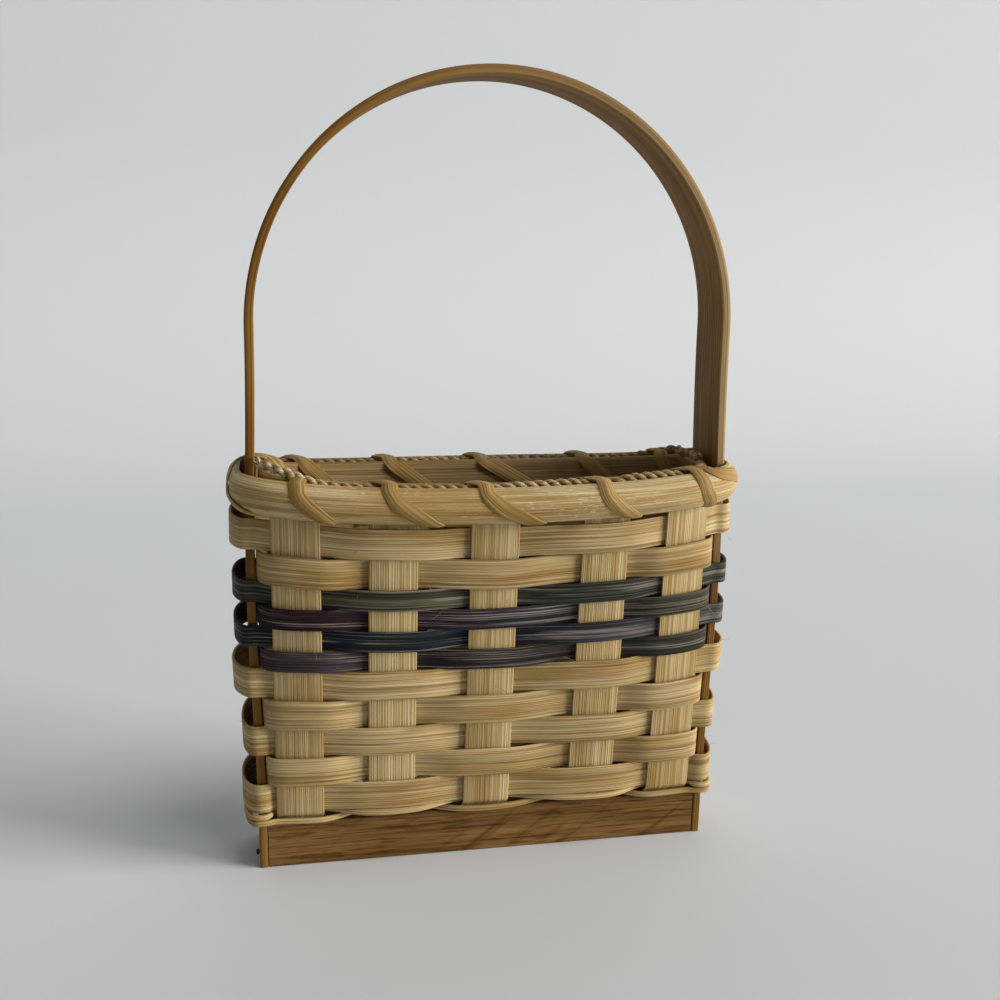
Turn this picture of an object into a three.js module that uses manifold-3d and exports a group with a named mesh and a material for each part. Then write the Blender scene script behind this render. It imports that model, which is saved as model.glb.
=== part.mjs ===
// Wall pocket basket: a reed pocket woven on a narrow oak base, carried by a bent wooden handle.
// Millimetres, +Z up, +X to the right, +Y towards the wall.
// The origin is the middle of the base's underside.
import * as THREE from 'three';
import { mergeVertices } from 'three/addons/utils/BufferGeometryUtils.js';
import Module from 'manifold-3d';

// Gaps: between pieces that lie against each other, between a strand and the upright that it passes,
// and between the layers of one strand.
const CLEARANCE = 0.3;
const WEAVE_CLEARANCE = 0.45;
const LAYER_GAP = 0.45;

// Base board, grooved along its top to take the stakes' feet.
const BOARD_LENGTH = 177.8;
const BOARD_HEIGHT = 19;
const BOARD_ARRIS = 0.5;
const GROOVE_DEPTH = 8;
const GROOVE_INSET = 2.6;

// Handle: one bent strip with its legs nailed to the board's ends.
const HANDLE_WIDTH = 28.1;
const HANDLE_THICKNESS = 3.3;
const HANDLE_LEG_HEIGHT = 214.5;
const HANDLE_ARCH_RISE = 94;
const HANDLE_BOW = 2;
const HANDLE_EASED_EDGE = 0.5;
const BRAD_HEAD_DIAMETER = 2.4;
const BRAD_HEAD_HEIGHT = 1.2;
const BRAD_SHANK_DIAMETER = 1.2;
const BRAD_LENGTH = 16;
const BRAD_POINT = 0.9;
const BRAD_HEIGHT = 4.2;
const BRAD_FORWARD = 8.2;

// Stakes: five flat reeds on the front and five on the back.
const STAKE_WIDTH = 18.6;
const STAKE_THICKNESS = 1;
const STAKE_LEG_GAP = 3.8;
const STAKE_HAND_SHIFT = [0, -2, -1.5, 4, 0];

// Plan of the pocket: how far the stakes stand out past the legs at the foot and at the rim,
// how round the front is there, and how far the rim dips between the legs.
const FOOT_OVERHANG = 1.55;
const RIM_OVERHANG = 13.45;
const FLARE_HEIGHT = 5.4;
const FOOT_SQUARENESS = 12;
const RIM_SQUARENESS = 3;
const END_SQUARENESS = 4;
const SADDLE = 4;
const FRONT_SADDLE_ROUNDNESS = 2;
const BACK_SADDLE_ROUNDNESS = 6;

// Twining under the lowest row, and the woven rows above it.
const TWINE_DIAMETER = 2.4;
const TWINE_LOOP = 3.2;
const WEAVER_THICKNESS = 1;
const NATURAL_WIDTH = 12;
const DYED_WIDTH = 8.4;
const LOWER_NATURAL_ROWS = 5;
const DYED_ROWS = 4;
const UPPER_NATURAL_ROWS = 2;
const LOOP_SLACK = [5.2, 4.4, 4.4, 6, 3.7, 5];
const LAP_UPRIGHTS = 2;

// Rims, seagrass and lashing.
const RIM_HEIGHT = 13.8;
const OUTER_RIM_THICKNESS = 6.4;
const RIM_END_THICKNESS = 4.2;
const INNER_RIM_THICKNESS = 3.8;
const RIM_SLACK = 1.25;
const TOP_ROW_SLACK = 0.2;
const SEAGRASS_DIAMETER = 4.2;
const LASHING_WIDTH = 5.2;
const LASHING_THICKNESS = 0.7;
const LASHING_GAP = 0.95;
const LASHING_INSIDE_GAP = 1.9;
const LASHING_HAND_SHIFT = [2, -2, -5, 0, 6];

// Facets.
const STEPS_PER_SPAN = 2;
const CORD_SIDES = 6;
const NAIL_SIDES = 10;
const LEG_STEPS = 10;
const ARCH_STEPS = 36;
const FLARE_STEPS = 5;
const WALL_STEPS = 12;
const RIM_STEPS = 64;
const HALF_ROUND_STEPS = 6;
const SEAGRASS_STEPS = 32;
const PLAN_STEPS = 720;

// Finishes.
const OAK = { color: 0x8a6234, roughness: 0.6 };
const BENT_OAK = { color: 0x8f6a3a, roughness: 0.5 };
const REED = { color: 0xc9ae7c, roughness: 0.75 };
const STAKE_REED = { color: 0xc2a878, roughness: 0.75 };
const RIM_REED = { color: 0xcdb27c, roughness: 0.65 };
const LASHING_REED = { color: 0xb08f58, roughness: 0.6 };
const SEAGRASS = { color: 0xa08358, roughness: 0.85 };
const IRON = { color: 0x2a2522, roughness: 0.5, metalness: 0.8 };
const DYES = [0x4a4f46, 0x4f4556, 0x47495a, 0x3f3f42];

const wasm = await Module();
wasm.setup();

const group = new THREE.Group();

function add(name, geometry, finish) {
  const mesh = new THREE.Mesh(geometry, new THREE.MeshStandardMaterial({ metalness: 0, ...finish }));
  mesh.name = name;
  group.add(mesh);
  return mesh;
}

function toSolid(geometry) {
  const bare = geometry.clone();
  bare.deleteAttribute('normal');
  bare.deleteAttribute('uv');
  const merged = mergeVertices(bare, 1e-4);
  const vertProperties = new Float32Array(merged.attributes.position.array);
  const triVerts = new Uint32Array(merged.index.array);
  return new wasm.Manifold(new wasm.Mesh({ numProp: 3, vertProperties, triVerts }));
}

function fromSolid(solid) {
  const mesh = solid.getMesh();
  const geometry = new THREE.BufferGeometry();
  geometry.setAttribute('position', new THREE.BufferAttribute(new Float32Array(mesh.vertProperties), 3));
  geometry.setIndex(new THREE.BufferAttribute(new Uint32Array(mesh.triVerts), 1));
  return geometry;
}

const cut = (body, ...tools) =>
  fromSolid(tools.reduce((solid, tool) => solid.subtract(toSolid(tool)), toSolid(body)));

function signedVolume(positions, index) {
  const [a, b, c] = [new THREE.Vector3(), new THREE.Vector3(), new THREE.Vector3()];
  let volume = 0;
  for (let i = 0; i < index.length; i += 3) {
    a.fromArray(positions, index[i] * 3);
    b.fromArray(positions, index[i + 1] * 3);
    c.fromArray(positions, index[i + 2] * 3);
    volume += a.dot(b.cross(c)) / 6;
  }
  return volume;
}

// Skins a run of like sections into one closed body, as a ring or with a cap on each end.
// The two faces of a flat strip are split along the same diagonals, so that its thickness is even.
function loft(sections, isRing) {
  const sides = sections[0].length;
  const positions = sections.flat().flatMap((p) => [p.x, p.y, p.z]);
  const index = [];
  const spans = isRing ? sections.length : sections.length - 1;
  for (let i = 0; i < spans; i++) {
    const here = i * sides;
    const next = ((i + 1) % sections.length) * sides;
    for (let k = 0; k < sides; k++) {
      const m = (k + 1) % sides;
      if (k < sides / 2) index.push(here + k, next + k, next + m, here + k, next + m, here + m);
      else index.push(here + k, next + k, here + m, next + k, next + m, here + m);
    }
  }
  if (!isRing) {
    const end = (sections.length - 1) * sides;
    for (let k = 1; k < sides - 1; k++) {
      index.push(0, k, k + 1, end, end + k + 1, end + k);
    }
  }
  if (signedVolume(positions, index) < 0) index.reverse();
  const geometry = new THREE.BufferGeometry();
  geometry.setAttribute('position', new THREE.Float32BufferAttribute(positions, 3));
  geometry.setIndex(index);
  return geometry;
}

// Levels, from the board's top upwards.
const lowerTwineZ = BOARD_HEIGHT + CLEARANCE + TWINE_DIAMETER / 2;
const upperTwineZ = lowerTwineZ + TWINE_DIAMETER + CLEARANCE;
const firstRowZ = upperTwineZ + TWINE_DIAMETER / 2 + CLEARANCE;

const rowWidths = [
  ...Array(LOWER_NATURAL_ROWS).fill(NATURAL_WIDTH),
  ...Array(DYED_ROWS).fill(DYED_WIDTH),
  ...Array(UPPER_NATURAL_ROWS).fill(NATURAL_WIDTH),
];
const rowCount = rowWidths.length;
let stackZ = firstRowZ;
const rowLevels = rowWidths.map((width) => {
  const low = stackZ;
  stackZ += width + CLEARANCE;
  return { low, high: low + width };
});
const lashingRoom = 2 * LASHING_GAP + LASHING_THICKNESS + TOP_ROW_SLACK;
const rimLow = rowLevels[rowCount - 1].high + lashingRoom;
const rimHigh = rimLow + RIM_HEIGHT;
const rimMid = (rimLow + rimHigh) / 2;

// The rims grip the stakes and the rim row.
// Seagrass lies in the seam between the rims, or on it where it is wider.
const rimGrip = STAKE_THICKNESS / 2 + WEAVE_CLEARANCE + WEAVER_THICKNESS + RIM_SLACK;
const seagrassRadius = SEAGRASS_DIAMETER / 2;
const seamLift = Math.sqrt(Math.max((seagrassRadius + CLEARANCE) ** 2 - rimGrip ** 2, 0));
const seagrassZ = rimHigh + seamLift;
const stakeHeadZ = seagrassZ - seagrassRadius - 2 * CLEARANCE;

// Handle legs: upright beside the board, then gently bowed out as far as the spring of the arch.
const legFootX = BOARD_LENGTH / 2 + CLEARANCE + HANDLE_THICKNESS / 2;

function legX(z) {
  const rise = THREE.MathUtils.clamp((z - BOARD_HEIGHT) / (HANDLE_LEG_HEIGHT - BOARD_HEIGHT), 0, 1);
  return legFootX + HANDLE_BOW * Math.sin(Math.PI * rise) ** 2;
}

// Half depth of the stakes' middle surface at a place across the basket.
const grooveY = HANDLE_WIDTH / 2 - GROOVE_INSET;
const footHalfDepth = HANDLE_WIDTH / 2 + FOOT_OVERHANG;
const rimHalfDepth = HANDLE_WIDTH / 2 + RIM_OVERHANG;
const climb = (z) => THREE.MathUtils.clamp((z - BOARD_HEIGHT) / (rimLow - BOARD_HEIGHT), 0, 1);

function wallY(x, z) {
  const t = climb(z);
  const depth = THREE.MathUtils.lerp(footHalfDepth, rimHalfDepth, t);
  const squareness = RIM_SQUARENESS + (FOOT_SQUARENESS - RIM_SQUARENESS) * (1 - t) ** 2;
  const across = Math.min(Math.abs(x) / legX(z), 1);
  const curved = depth * (1 - across ** squareness) ** (1 / END_SQUARENESS);
  const flared = THREE.MathUtils.smoothstep(z, BOARD_HEIGHT, BOARD_HEIGHT + FLARE_HEIGHT);
  return THREE.MathUtils.lerp(grooveY, curved, flared);
}

// The rim and the rows dip between the legs, more the higher they are, and more evenly at the back.
function settled(place, z) {
  const back = THREE.MathUtils.smoothstep(place.y, -HANDLE_WIDTH / 2, HANDLE_WIDTH / 2);
  const roundness = THREE.MathUtils.lerp(FRONT_SADDLE_ROUNDNESS, BACK_SADDLE_ROUNDNESS, back);
  return z - SADDLE * climb(z) * (1 - Math.min(Math.abs(place.x) / legX(z), 1) ** roundness);
}

// Uprights in order round the basket: left leg, front stakes, right leg, back stakes.
const stakeCount = STAKE_HAND_SHIFT.length;
const outerStakeX = BOARD_LENGTH / 2 + CLEARANCE - STAKE_LEG_GAP - STAKE_WIDTH / 2;
const stakeX = STAKE_HAND_SHIFT.map((shift, i) => outerStakeX * ((2 * i) / (stakeCount - 1) - 1) + shift);
const uprightCount = 2 * (stakeCount + 1);

function legFrame(side, z) {
  return {
    isLeg: true,
    place: new THREE.Vector2(side * legX(z), 0),
    along: new THREE.Vector2(0, side),
    out: new THREE.Vector2(side, 0),
    halfWidth: HANDLE_WIDTH / 2,
    halfThickness: HANDLE_THICKNESS / 2,
  };
}

function stakeFrame(x, side, z) {
  const reach = STAKE_THICKNESS / 2;
  const slope = (wallY(x + reach, z) - wallY(x - reach, z)) / (2 * reach);
  const along = new THREE.Vector2(-side, -slope).normalize();
  return {
    isLeg: false,
    place: new THREE.Vector2(x, side * wallY(x, z)),
    along,
    out: new THREE.Vector2(along.y, -along.x),
    halfWidth: STAKE_WIDTH / 2,
    halfThickness: STAKE_THICKNESS / 2,
  };
}

function uprightFrame(index, z) {
  const k = ((index % uprightCount) + uprightCount) % uprightCount;
  if (k === 0) return legFrame(-1, z);
  if (k <= stakeCount) return stakeFrame(stakeX[k - 1], -1, z);
  if (k === stakeCount + 1) return legFrame(1, z);
  return stakeFrame(stakeX[uprightCount - 1 - k], 1, z);
}

const inFrame = (frame, along, out) =>
  frame.place.clone().addScaledVector(frame.along, along).addScaledVector(frame.out, out);

// Where a woven strand of a given half thickness passes one upright, outside or inside.
// A second layer lies beside the first, and an outside turn round a leg stands off in a loose loop.
function passing(frame, halfThickness, isOutside, loop, layer) {
  const stand = frame.halfThickness + WEAVE_CLEARANCE + halfThickness;
  const second = layer * (2 * halfThickness + LAYER_GAP);
  if (!frame.isLeg) {
    const reach = frame.halfWidth + 2 * CLEARANCE;
    const out = isOutside ? stand + Math.max(second, 0) : -stand + Math.min(second, 0);
    return [inFrame(frame, -reach, out), inFrame(frame, reach, out)];
  }
  const edge = frame.halfWidth + CLEARANCE + halfThickness;
  if (isOutside) {
    const crown = stand + loop;
    return [
      inFrame(frame, -edge - CLEARANCE, -frame.halfThickness),
      inFrame(frame, -edge, stand),
      inFrame(frame, -frame.halfWidth / 2, crown - loop / 5),
      inFrame(frame, frame.halfWidth / 2, crown - loop / 5),
      inFrame(frame, edge, stand),
      inFrame(frame, edge + CLEARANCE, -frame.halfThickness),
    ];
  }
  return [
    inFrame(frame, -edge, -stand - halfThickness),
    inFrame(frame, -frame.halfWidth / 2, -stand),
    inFrame(frame, frame.halfWidth / 2, -stand),
    inFrame(frame, edge, -stand - halfThickness),
  ];
}

// Plan of a whole row at one height, as a smooth curve from its first upright to its last.
function rowCurve(z, halfThickness, outsideParity, loop, firstUpright, lapUprights) {
  const points = [];
  const last = uprightCount + lapUprights;
  for (let i = 0; i < last; i++) {
    const index = firstUpright + i;
    const isOutside = (index + outsideParity) % 2 === 0;
    const startsUnder = i < lapUprights ? -1 : 0;
    const endsOver = i >= uprightCount ? 1 : 0;
    points.push(...passing(uprightFrame(index, z), halfThickness, isOutside, loop, startsUnder + endsOver));
  }
  const path = points.map((p) => new THREE.Vector3(p.x, p.y, 0));
  return new THREE.CatmullRomCurve3(path, lapUprights === 0, 'centripetal');
}

function curveSteps(curve) {
  const spans = curve.closed ? curve.points.length : curve.points.length - 1;
  const steps = spans * STEPS_PER_SPAN;
  return Array.from({ length: curve.closed ? steps : steps + 1 }, (_, i) => i / steps);
}

const sideways = (curve, t) => {
  const along = curve.getTangent(t);
  return new THREE.Vector3(along.y, -along.x, 0).normalize();
};

// A flat woven row: its lower and upper edges each follow the plan at their own height.
function flatRow(low, high, outsideParity, loop, firstUpright, lapUprights) {
  const half = WEAVER_THICKNESS / 2;
  const plan = (z) => rowCurve(z, half, outsideParity, loop, firstUpright, lapUprights);
  const [lower, upper] = [plan(low), plan(high)];
  const sections = curveSteps(lower).map((t) => {
    const edges = [[lower, low], [upper, high]].map(([curve, z]) => {
      const place = curve.getPoint(t);
      place.z = settled(place, z);
      return { place, out: sideways(curve, t) };
    });
    const [foot, head] = edges;
    return [
      foot.place.clone().addScaledVector(foot.out, -half),
      foot.place.clone().addScaledVector(foot.out, half),
      head.place.clone().addScaledVector(head.out, half),
      head.place.clone().addScaledVector(head.out, -half),
    ];
  });
  return loft(sections, lower.closed);
}

const UP = new THREE.Vector3(0, 0, 1);

function roundSection(place, out, radius) {
  return Array.from({ length: CORD_SIDES }, (_, i) => {
    const angle = (2 * Math.PI * (i + 0.5)) / CORD_SIDES;
    const corner = place.clone().addScaledVector(out, radius * Math.cos(angle));
    return corner.addScaledVector(UP, radius * Math.sin(angle));
  });
}

function twineStrand(z, outsideParity) {
  const radius = TWINE_DIAMETER / 2;
  const points = [];
  for (let k = 0; k < uprightCount; k++) {
    const isOutside = k % (stakeCount + 1) === 0 || (k + outsideParity) % 2 === 0;
    const frame = uprightFrame(k, z + (isOutside ? radius : -radius));
    points.push(...passing(frame, radius, isOutside, TWINE_LOOP, 0));
  }
  const path = points.map((p) => new THREE.Vector3(p.x, p.y, z));
  const curve = new THREE.CatmullRomCurve3(path, true, 'centripetal');
  const sections = curveSteps(curve).map((t) => {
    const place = curve.getPoint(t);
    place.z = settled(place, z);
    return roundSection(place, sideways(curve, t), radius);
  });
  return loft(sections, true);
}

// A stake: one flat reed from the bottom of its groove to just under the rims' top.
function stake(x, side) {
  const foot = BOARD_HEIGHT - GROOVE_DEPTH + CLEARANCE;
  const flareHead = BOARD_HEIGHT + FLARE_HEIGHT;
  const levels = [foot];
  for (let i = 0; i < FLARE_STEPS; i++) levels.push(BOARD_HEIGHT + (FLARE_HEIGHT * i) / FLARE_STEPS);
  for (let i = 0; i <= WALL_STEPS; i++) levels.push(flareHead + ((rimLow - flareHead) * i) / WALL_STEPS);
  levels.push(stakeHeadZ);
  const sections = levels.map((z) => {
    const frame = stakeFrame(x, side, z);
    const corner = (along, out) => {
      const p = inFrame(frame, along * frame.halfWidth, out * frame.halfThickness);
      return new THREE.Vector3(p.x, p.y, settled(p, z));
    };
    return [corner(-1, -1), corner(1, -1), corner(1, 1), corner(-1, 1)];
  });
  return loft(sections, false);
}

// Plan of a rim's face: a closed curve with its own half length and half depth, at even steps.
function rimPlan(halfLength, halfDepth, steps) {
  const points = Array.from({ length: PLAN_STEPS / 2 }, (_, i) => {
    const angle = (4 * Math.PI * (i + 0.5)) / PLAN_STEPS;
    const [c, s] = [Math.cos(angle), Math.sin(angle)];
    const x = halfLength * Math.sign(c) * Math.abs(c) ** (2 / RIM_SQUARENESS);
    const y = halfDepth * Math.sign(s) * Math.abs(s) ** (2 / END_SQUARENESS);
    return new THREE.Vector3(x, y, 0);
  });
  return new THREE.CatmullRomCurve3(points, true, 'centripetal').getSpacedPoints(steps).slice(0, steps);
}

// Plan curves that the rims follow, and the seam halfway between them.
const legOuterX = legX(rimMid) + HANDLE_THICKNESS / 2 + 2 * CLEARANCE;
const legInnerX = legX(rimMid) - HANDLE_THICKNESS / 2 - WEAVER_THICKNESS - 2 * WEAVE_CLEARANCE;
const gripOuterY = rimHalfDepth + rimGrip;
const gripInnerY = rimHalfDepth - rimGrip;
const legCorner = (1 - (HANDLE_WIDTH / 2 / gripOuterY) ** END_SQUARENESS) ** (1 / RIM_SQUARENESS);
const gripOuterX = legOuterX / legCorner;
const outerGrip = rimPlan(gripOuterX, gripOuterY, PLAN_STEPS);
const innerGrip = rimPlan(legInnerX, gripInnerY, PLAN_STEPS);
const seamLine = rimPlan((gripOuterX + legInnerX) / 2, rimHalfDepth, PLAN_STEPS);

function rimPoint(plan, i, z) {
  const p = plan[((i % plan.length) + plan.length) % plan.length];
  return new THREE.Vector3(p.x, p.y, settled(p, z));
}

// The half-round is pressed thinner where it bends round the legs.
const outerThickness = (p) => THREE.MathUtils.lerp(RIM_END_THICKNESS, OUTER_RIM_THICKNESS,
  THREE.MathUtils.smoothstep(Math.abs(p.y), HANDLE_WIDTH / 4, gripOuterY));

function rim(gripX, gripY, thicknessAt, profile) {
  const grip = rimPlan(gripX, gripY, RIM_STEPS);
  const sections = grip.map((_, i) => {
    const before = rimPoint(grip, i - 1, rimMid);
    const after = rimPoint(grip, i + 1, rimMid);
    const out = new THREE.Vector3(after.y - before.y, before.x - after.x, 0).normalize();
    if (out.dot(grip[i]) < 0) out.negate();
    const thickness = thicknessAt(grip[i]);
    return profile.map(([reach, height]) =>
      rimPoint(grip, i, rimMid + (height * RIM_HEIGHT) / 2).addScaledVector(out, reach * thickness));
  });
  return loft(sections, true);
}

// Rim sections, as shares of the rim's thickness and of half its height.
const halfRound = Array.from({ length: HALF_ROUND_STEPS + 1 }, (_, i) => {
  const angle = (Math.PI * i) / HALF_ROUND_STEPS - Math.PI / 2;
  return [Math.cos(angle), Math.sin(angle)];
});
const ovalQuarter = [[0, 0.8], [-0.35, 1], [-0.8, 0.85], [-1, 0.4]];
const flatOval = [...ovalQuarter, ...ovalQuarter.map(([reach, height]) => [reach, -height]).reverse()];

// Board with its two grooves and a nail hole in each end.
function endProfile() {
  const [y, z, arris] = [HANDLE_WIDTH / 2, BOARD_HEIGHT, BOARD_ARRIS];
  const half = STAKE_THICKNESS / 2 + CLEARANCE;
  const shape = new THREE.Shape();
  const outline = [[-y + arris, 0], [y - arris, 0], [y, arris], [y, z - arris], [y - arris, z]];
  for (const side of [1, -1]) {
    const walls = [side * grooveY + half, side * grooveY - half];
    outline.push([walls[0], z], [walls[0], z - GROOVE_DEPTH], [walls[1], z - GROOVE_DEPTH], [walls[1], z]);
  }
  outline.push([-y + arris, z], [-y, z - arris], [-y, arris]);
  shape.setFromPoints(outline.map(([u, v]) => new THREE.Vector2(u, v)));
  return shape;
}

function nailHole(side, from, to) {
  const radius = BRAD_SHANK_DIAMETER / 2 + CLEARANCE;
  const hole = new THREE.CylinderGeometry(radius, radius, to - from, NAIL_SIDES);
  hole.rotateZ(Math.PI / 2);
  hole.translate((side * (from + to)) / 2, -BRAD_FORWARD, BRAD_HEIGHT);
  return hole;
}

const legInnerFace = BOARD_LENGTH / 2 + CLEARANCE;
const legOuterFace = legInnerFace + HANDLE_THICKNESS;
const nailTip = legOuterFace + CLEARANCE - BRAD_LENGTH;
const board = new THREE.ExtrudeGeometry(endProfile(), { depth: BOARD_LENGTH, bevelEnabled: false });
board.rotateX(Math.PI / 2);
board.rotateZ(Math.PI / 2);
board.translate(-BOARD_LENGTH / 2, 0, 0);
const boardHoles = [-1, 1].map((side) => nailHole(side, nailTip - CLEARANCE, legOuterFace));
add('base_board', cut(board, ...boardHoles), OAK);

// Handle strip: its edge outline, extruded by its width with eased edges.
function handleOutline(offset) {
  const points = [];
  for (let i = 0; i < LEG_STEPS; i++) {
    const bowed = Math.max(i - 1, 0) / (LEG_STEPS - 1);
    const z = i === 0 ? 0 : THREE.MathUtils.lerp(BOARD_HEIGHT, HANDLE_LEG_HEIGHT, bowed);
    points.push(new THREE.Vector2(-legX(z) - offset, z));
  }
  const [span, rise] = [legX(HANDLE_LEG_HEIGHT) + offset, HANDLE_ARCH_RISE - HANDLE_THICKNESS / 2 + offset];
  for (let i = 0; i <= ARCH_STEPS; i++) {
    const angle = Math.PI * (1 - i / ARCH_STEPS);
    points.push(new THREE.Vector2(span * Math.cos(angle), HANDLE_LEG_HEIGHT + rise * Math.sin(angle)));
  }
  const right = points.slice(0, LEG_STEPS).map((p) => new THREE.Vector2(-p.x, p.y));
  return [...points, ...right.reverse()];
}

const [outerEdge, innerEdge] = [handleOutline(HANDLE_THICKNESS / 2), handleOutline(-HANDLE_THICKNESS / 2)];
const strip = new THREE.Shape();
strip.setFromPoints([...outerEdge, ...innerEdge.reverse()]);
const handle = new THREE.ExtrudeGeometry(strip, {
  depth: HANDLE_WIDTH - 2 * HANDLE_EASED_EDGE,
  bevelEnabled: true,
  bevelThickness: HANDLE_EASED_EDGE,
  bevelSize: HANDLE_EASED_EDGE,
  bevelOffset: -HANDLE_EASED_EDGE,
  bevelSegments: 1,
});
handle.rotateX(Math.PI / 2);
handle.translate(0, HANDLE_WIDTH / 2 - HANDLE_EASED_EDGE, 0);
const legHoles = [-1, 1].map((side) => nailHole(side, nailTip, legOuterFace + HANDLE_THICKNESS));
add('handle', cut(handle, ...legHoles), BENT_OAK);

function brad(side) {
  const [head, shank] = [BRAD_HEAD_DIAMETER / 2, BRAD_SHANK_DIAMETER / 2];
  const profile = [[0, -BRAD_LENGTH], [shank, BRAD_POINT - BRAD_LENGTH], [shank, 0], [head, 0]];
  profile.push([head, BRAD_HEAD_HEIGHT / 2], [head / 2, BRAD_HEAD_HEIGHT], [0, BRAD_HEAD_HEIGHT]);
  const nail = new THREE.LatheGeometry(profile.map(([u, v]) => new THREE.Vector2(u, v)), NAIL_SIDES);
  nail.rotateZ((-side * Math.PI) / 2);
  nail.translate(side * (legOuterFace + CLEARANCE), -BRAD_FORWARD, BRAD_HEIGHT);
  return nail;
}

add('left_brad', brad(-1), IRON);
add('right_brad', brad(1), IRON);

for (let i = 0; i < stakeCount; i++) add(`front_stake_${i + 1}`, stake(stakeX[i], -1), STAKE_REED);
for (let i = 0; i < stakeCount; i++) add(`back_stake_${i + 1}`, stake(stakeX[i], 1), STAKE_REED);

add('twining_lower_strand', twineStrand(lowerTwineZ, 1), REED);
add('twining_upper_strand', twineStrand(upperTwineZ, 0), REED);

// Rows are numbered from the top. Odd rows pass outside the legs, even rows inside.
// Each row's ends lap past two back uprights, and neighbours start one upright apart.
const backStart = stakeCount + 3;
for (let i = 0; i < rowCount; i++) {
  const number = rowCount - i;
  const { low, high } = rowLevels[i];
  const isOdd = number % 2 === 1;
  const loop = LOOP_SLACK[Math.floor(number / 2)] ?? LOOP_SLACK[0];
  const firstUpright = backStart + (isOdd ? 0 : 1);
  const isDyed = i >= LOWER_NATURAL_ROWS && i < LOWER_NATURAL_ROWS + DYED_ROWS;
  const finish = isDyed ? { color: DYES[LOWER_NATURAL_ROWS + DYED_ROWS - 1 - i], roughness: 0.7 } : REED;
  const name = `weaver_row_${String(number).padStart(2, '0')}`;
  add(name, flatRow(low, high, isOdd ? 0 : 1, loop, firstUpright, LAP_UPRIGHTS), finish);
}

// The rim row, which the two rims hide, keeps inside the legs and closes end to end.
add('rim_row', flatRow(rimLow + CLEARANCE, stakeHeadZ, 1, 0, 0, 0), REED);

add('outer_rim', rim(gripOuterX, gripOuterY, outerThickness, halfRound), RIM_REED);
add('inner_rim', rim(legInnerX, gripInnerY, () => INNER_RIM_THICKNESS, flatOval), RIM_REED);

// Seagrass fills the seam on top of the rims, in a front and a back length that stop short of the legs.
function seagrass(side) {
  const clear = HANDLE_WIDTH / 2 + seagrassRadius + CLEARANCE;
  const run = seamLine.filter((p) => p.y * side > clear).sort((p, q) => p.x - q.x);
  const curve = new THREE.CatmullRomCurve3(run, false, 'centripetal');
  const sections = Array.from({ length: SEAGRASS_STEPS + 1 }, (_, i) => {
    const place = curve.getPointAt(i / SEAGRASS_STEPS);
    const along = curve.getTangentAt(i / SEAGRASS_STEPS);
    const out = new THREE.Vector3(along.y, -along.x, 0).normalize();
    place.z = settled(place, seagrassZ);
    return roundSection(place, out, seagrassRadius);
  });
  return loft(sections, false);
}

add('front_seagrass', seagrass(-1), SEAGRASS);
add('back_seagrass', seagrass(1), SEAGRASS);

// Lashing: one flat reed wound round both rims and the seagrass, one turn for each gap between uprights.
// It passes under the rims in the gap, climbs the inside, crosses the seagrass and falls down the outside.
const lashingStand = LASHING_GAP + LASHING_THICKNESS / 2;

const planAt = (plan, step) => plan[((Math.round(step) % PLAN_STEPS) + PLAN_STEPS) % PLAN_STEPS];

function nearestStep(plan, place) {
  const distances = plan.map((p) => Math.hypot(p.x - place.x, p.y - place.y));
  return distances.indexOf(Math.min(...distances));
}

// A place beside a rim: level with a step along the seam, then so far out and up from the rim's own plan.
// The strip's underside faces the other way from the given outward and upward lean.
function besideRim(plan, seamStep, [reach, height], [outward, upward]) {
  const step = nearestStep(plan, planAt(seamLine, seamStep));
  const along = planAt(plan, step + 1).clone().sub(planAt(plan, step - 1));
  const out = new THREE.Vector3(along.y, -along.x, 0).normalize();
  const place = planAt(plan, step).clone().addScaledVector(out, reach);
  place.z = settled(place, rimMid + height);
  const lean = out.multiplyScalar(outward).addScaledVector(UP, upward).normalize();
  return { place, under: place.clone().sub(lean) };
}

// The step along the seam that is nearest to a place beside an upright.
function seamStep(k, along) {
  return nearestStep(seamLine, inFrame(uprightFrame(k, rimLow), along, 0));
}

const onward = (from, to) => from + ((to - from + PLAN_STEPS) % PLAN_STEPS);
const seamStepLength = seamLine[0].distanceTo(seamLine[1]);

// Each turn dips under the rims just past one upright, or halfway to the next where they are close.
function dipStep(k) {
  const edge = seamStep(k, uprightFrame(k, rimLow).halfWidth);
  const nextEdge = onward(edge, seamStep(k + 1, -uprightFrame(k + 1, rimLow).halfWidth));
  return Math.min(edge + (LASHING_WIDTH + LASHING_GAP) / seamStepLength, (edge + nextEdge) / 2);
}

// It crosses the seagrass over the next stake, or just short of the next upright where that is a leg.
function crossStep(k) {
  if (uprightFrame(k, rimLow).isLeg) return dipStep(k - 1);
  return seamStep(k, LASHING_HAND_SHIFT[(k % uprightCount) - 1] ?? 0);
}

// Places round half a section of given reach and height: the share of the way up, the place and the lean.
const halfSection = (degrees, squareness, fullReach, fullHeight) =>
  degrees.map((degree) => {
    const angle = THREE.MathUtils.degToRad(degree);
    const [c, s, power] = [Math.cos(angle), Math.sin(angle), 2 / squareness];
    const place = [fullReach * c ** power, fullHeight * Math.sign(s) * Math.abs(s) ** power];
    const lean = [c ** (2 - power) / fullReach, (Math.sign(s) * Math.abs(s) ** (2 - power)) / fullHeight];
    return { share: (1 + place[1] / fullHeight) / 2, place, lean };
  });
const lashingHalfHeight = RIM_HEIGHT / 2 + lashingStand;
const insideReach = INNER_RIM_THICKNESS + LASHING_INSIDE_GAP + LASHING_THICKNESS / 2;
const outsideReach = OUTER_RIM_THICKNESS + lashingStand;
const lashingTop = seagrassZ + seagrassRadius + lashingStand - rimMid;
const shoulderReach = seagrassRadius - CLEARANCE;
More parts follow.
